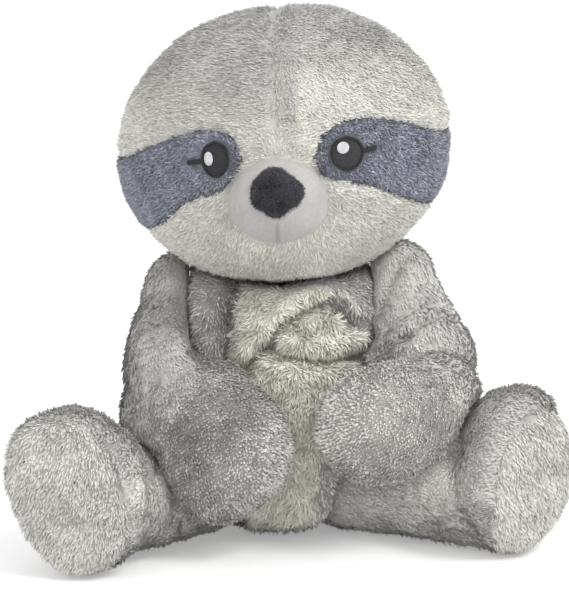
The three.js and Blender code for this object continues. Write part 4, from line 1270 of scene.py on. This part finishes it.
# a finished skin: rounded, with its creases pressed in, and flat where it rests on the floor
def finishedSkin(number, relief, inside):
    points, faces = refined(swollen[number], skins[number][1])
    points = points + vertexNormals(points, faces) * relief(points)[:, None]
    points = coverOver(points, faces, inside, 1.0)
    points[:, 2] = np.maximum(points[:, 2], 0.6)
    return points, faces


def downComb(points):
    return np.column_stack([0.4 * np.sign(points[:, 0]), np.zeros(len(points)), -np.ones(len(points))])


# light is painted light: a lift or drop in the brightness of a whole piece
def greyShades(seed, base=0.10, paler=None, light=0):
    def shades(points):
        values = {"cream": base + 0.14 * softNoise(points, 46, seed),
                  "shade": light + 0.08 * softNoise(points, 34, seed + 1) + 0.05 * softNoise(points, 8, seed + 2)}
        if paler:
            values["cream"] += paler(points)
        return values
    return shades


# painted shade where the chest falls back between the arm and the belly
def torsoShades(points):
    values = greyShades(63, 0.2)(points)
    values["shade"] = values["shade"] - 0.35 * bell(lineDistance(points, chestCrease), 7) * (points[:, 1] < 0)
    return values


torsoPoints, torsoFaces = finishedSkin(0, torsoRelief, ["seat_bead_pouch"])
torsoPoints = torsoPoints + torsoForward(torsoPoints)
torsoPileSizes = {"spacing": 1.93, "length": 5.0, "width": 0.62, "lean": 56, "scatter": 0.35, "swirl": 0.4,
                  "ruffle": 12, "thinBehind": 12}
pilePiece("torsoCover", (torsoPoints, torsoFaces), torsoPileSizes, downComb,
          lambda root, outward: ((inBelly(root) > 0) & (root[:, 2] > 4)
                                 & (root[:, 2] < 196 + 14 * (np.abs(root[:, 0]) > 50))
                                 & ((np.abs(outward[:, 0]) < 0.9) | (np.abs(root[:, 0]) > 67))),
          torsoShades, bodyPile, "torso", "torso_cover", 64)
filling("torso_filling", "torsoFilling", "torso", lambda points: torsoRelief(points) - 0.5)

bellyPileSizes = {"spacing": 1.4, "length": 6.6, "width": 0.64, "lean": 58, "scatter": 0.3, "swirl": 1.0,
                  "ruffle": 18, "skinTip": 0.15}


# the belly's pile is brushed down and a little to the toy's right
def bellyComb(points):
    return np.column_stack([-0.35 + 0.01 * points[:, 0], np.zeros(len(points)), -np.ones(len(points))])


# painted shade along the folds and over the side toward the toy's right arm, and a painted highlight across the middle
# of the belly
def bellyShades(points):
    fold = np.min([lineDistance(points, fold["line"]) for fold in bellyFolds[:3]], axis=0)
    return {"cream": 0.94 + 0.08 * softNoise(points, 30, 66),
            "shade": (0.05 * softNoise(points, 20, 67) + 0.06 * softNoise(points, 7, 68) - 0.3 * bell(fold, 2.6)
                      - 0.17 * blendIn(-points[:, 0], 14, 44) + 0.15 * bell((points[:, 2] - 124) / 18, 1))}


pilePiece("bellyPanel", clothSheet(torsoPoints, torsoFaces, inBelly(torsoPoints) < 3), bellyPileSizes,
          bellyComb, lambda root, outward: (outward[:, 1] < -0.1) & (inBelly(root) < 1.2), bellyShades,
          bellyPile, "torso", "belly_panel", 65)


def alongComb(forms):
    def combed(points):
        paths = [splinePath(form["path"])[0][::6] for form in forms]
        ways = np.vstack([unit(np.gradient(path, axis=0)) for path in paths])
        reach = np.stack([np.linalg.norm(points - place, axis=1) for place in np.vstack(paths)])
        return ways[np.argmin(reach, axis=0)]
    return combed


# the pile stands up on the hands, where it is rubbed, and lies down on the upper arms
def handRub(side):
    hand = np.array(armForms[side][-1]["path"][-2])
    return lambda points: 1 - blendIn(np.linalg.norm((points - hand) * [1, 0.6, 1], axis=1), 38, 72)


def handRim(side):
    tip = np.array(armForms[side][-1]["path"][-1])
    inward = np.array([-side * 0.7, 0, -0.7])
    return lambda points: 0.45 * blendIn((points - tip) @ inward, 20, 40)


# patches of painted shade and highlight, one also greyer cloth: their places and how wide they are
lightAndTonePatches = {"upperArmShade": ((-92, -48, 150), 34), "instepHighlightRight": ((-90, -134, 58), 26),
               "instepHighlightLeft": ((104, -92, 44), 24), "toeTopGreyAndShadow": ((164, -84, 116), 24)}


def patchShare(points, name):
    place, wide = lightAndTonePatches[name]
    return bell(distanceFrom(points, place), wide)


# painted light: the toy's left arm, on the key light's side, is paler and brighter, partly also from its smoother pile;
# the toy's right arm is darker, with a painted shade over its upper arm
def armShades(side):
    def shades(points):
        values = greyShades(80 + side, 0.34 + 0.22 * side, handRim(side), 0.05 * side - 0.02)(points)
        values["shade"] = values["shade"] - 0.10 * patchShare(points, "upperArmShade")
        return values
    return shades


# the insteps carry a painted highlight, and the top of the left foot is greyer cloth with a painted shadow
def legShades(side):
    def shades(points):
        values = greyShades(95 + side, 0.38)(points)
        instepHighlight = patchShare(points, "instepHighlightRight" if side < 0 else "instepHighlightLeft")
        top = patchShare(points, "toeTopGreyAndShadow")
        return {"cream": values["cream"] + 0.9 * instepHighlight - 0.3 * top, "shade": values["shade"] + 0.2 * instepHighlight - 0.2 * top}
    return shades


armPileSizes = {"spacing": 1.6, "length": 4.6, "width": 0.72, "lean": 58, "scatter": 0.35, "swirl": 0.4,
                "ruffle": 12, "skinTip": 0.2, "rows": ((0.57, 0.1, -0.82), 2.5), "calm": 0.9, "sharp": 0.7,
                "belly": 0.7, "darkSpecks": True, "tips": [0.0, 0.85, 0.85, 0.9, 1.0]}
for number, (name, low, side) in enumerate((("Right", "right", -1), ("Left", "left", 1)), 1):
    relief = armRelief(side)
    skin = finishedSkin(number, relief, [f"hand_bead_pouch_{low}"])
    pilePiece(f"armCover{name}", skin, armPileSizes, alongComb(armForms[side]),
              lambda root, outward: (side * outward[:, 0] > -0.9) | (side * root[:, 0] > 70) | (root[:, 2] < 130),
              armShades(side), bodyPile, f"arm_{low}", f"arm_cover_{low}", 82 + side, handRub(side))
    filling(f"arm_filling_{low}", f"armFilling{name}", f"arm_{low}", lambda points: relief(points) - 0.5)

legPileSizes = {"spacing": 1.65, "length": 4.8, "width": 0.74, "lean": 57, "scatter": 0.4, "swirl": 0.5,
                "ruffle": 12, "skinTip": 0.1, "calm": 0.6, "sharp": 0.7, "belly": 0.65, "darkSpecks": True,
                "tips": [0.0, 0.75, 0.75, 0.85, 1.0]}
solePileSizes = {"spacing": 1.35, "length": 5.2, "width": 0.6, "lean": 62, "scatter": 0.2, "swirl": 0.2,
                 "ruffle": 7, "skinTip": 0.3, "sharp": 0.7, "belly": 0.6, "darkSpecks": True}


def soleShades(points):
    return {"cream": 0.92 + 0.08 * softNoise(points, 30, 66),
            "shade": 0.04 * softNoise(points, 22, 67) + 0.06 * softNoise(points, 7, 69)}


for number, (name, low, side) in enumerate((("Right", "right", -1), ("Left", "left", 1)), 3):
    form, relief = legForms[side], legRelief(side)
    points, faces = finishedSkin(number, relief, [f"foot_bead_pouch_{low}"])
    offFloor = lambda root: root[:, 2] > 3
    pilePiece(f"legCover{name}", (points, faces), legPileSizes, alongComb([form]),
              lambda root, outward: (soleAway(side, root) > 0) & offFloor(root),
              legShades(side), bodyPile, f"leg_{low}", f"leg_cover_{low}", 97 + side)
    filling(f"leg_filling_{low}", f"legFilling{name}", f"leg_{low}", lambda points: relief(points) - 0.5)
    onSole = lambda root, outward: (outward @ form["sole"] > 0) & (soleAway(side, root) < 0.6) & offFloor(root)
    pilePiece(f"solePanel{name}", clothSheet(points, faces, soleAway(side, points) < 2), solePileSizes,
              downComb, onSole, soleShades, bodyPile, f"leg_{low}", f"sole_panel_{low}", 99 + side)
print("body covered")


# Floor and backdrop: plain white to the camera, with the toy's soft shadow on the floor
def viewShare(tree):
    rays = tree.nodes.new("ShaderNodeLightPath")
    seen = rays.outputs["Is Camera Ray"]
    for kind in ("Is Glossy Ray", "Is Transmission Ray"):
        widest = tree.nodes.new("ShaderNodeMath")
        widest.operation = "MAXIMUM"
        tree.links.new(seen, widest.inputs[0])
        tree.links.new(rays.outputs[kind], widest.inputs[1])
        seen = widest.outputs[0]
    return seen


studio = {"floorHalf": 6.0, "floorGlow": 0.30, "ambient": 0.93, "aim": (0, 0, 0.2)}
bpy.ops.mesh.primitive_plane_add(size=2 * studio["floorHalf"], location=(0, 0, -0.0005))
floor = bpy.context.object
floor.name = "floor"
paper = Nodes("paper")
paper.finish(paper.mixed(paper.ranged(paper.noise(3), 0.3, 0.7, 0, 1), (0.83, 0.83, 0.835), (0.85, 0.85, 0.85)), 0.9)
glow = paper.add("Emission", {"Color": (1, 1, 1, 1)})
paper.feed(glow.inputs["Strength"], paper.product(viewShare(paper.tree), studio["floorGlow"]))
both = paper.tree.nodes.new("ShaderNodeAddShader")
paper.tree.links.new(paper.shader.outputs[0], both.inputs[0])
paper.tree.links.new(glow.outputs[0], both.inputs[1])
paper.tree.links.new(both.outputs[0], paper.tree.nodes["Material Output"].inputs["Surface"])
floor.data.materials.append(paper.material)

world = bpy.data.worlds.new("studio")
bpy.context.scene.world = world
world.use_nodes = True
tree = world.node_tree
ambient = tree.nodes["Background"]
ambient.inputs["Color"].default_value = (1, 1, 1, 1)
ambient.inputs["Strength"].default_value = studio["ambient"]
backdrop = tree.nodes.new("ShaderNodeBackground")
backdrop.inputs["Color"].default_value = (1, 1, 1, 1)
backdrop.inputs["Strength"].default_value = 1
mix = tree.nodes.new("ShaderNodeMixShader")
tree.links.new(viewShare(tree), mix.inputs[0])
tree.links.new(ambient.outputs[0], mix.inputs[1])
tree.links.new(backdrop.outputs[0], mix.inputs[2])
tree.links.new(mix.outputs[0], tree.nodes["World Output"].inputs["Surface"])


def softbox(name, at, target, size, power):
    light = bpy.data.lights.new(name, "AREA")
    light.shape, light.size, light.energy = "DISK", size, power
    lamp = bpy.data.objects.new(name, light)
    bpy.context.scene.collection.objects.link(lamp)
    lamp.location = at
    way = np.array(target) - np.array(at)
    lamp.rotation_euler = (math.acos(-way[2] / np.linalg.norm(way)), 0, math.atan2(way[1], way[0]) - math.pi / 2)


softbox("keyLight", (1.5, -1.5, 2.2), studio["aim"], 1.1, 40)
softbox("fillLight", (-1.8, -1.6, 1.2), studio["aim"], 1.6, 3)

cameraSizes = {"elevation": 12, "distance": 2.2, "target": (0.0025, -0.040, 0.178), "lens": 188.4}
cameraData = bpy.data.cameras.new("camera")
cameraData.lens = cameraSizes["lens"]
camera = bpy.data.objects.new("camera", cameraData)
bpy.context.scene.collection.objects.link(camera)
elevation = math.radians(cameraSizes["elevation"])
camera.location = np.array(cameraSizes["target"]) + cameraSizes["distance"] * np.array(
    [0, -math.cos(elevation), math.sin(elevation)])
camera.rotation_euler = (math.pi / 2 - elevation, 0, 0)
bpy.context.scene.camera = camera
bpy.context.scene.view_settings.view_transform = "Standard"

bpy.context.view_layer.update()
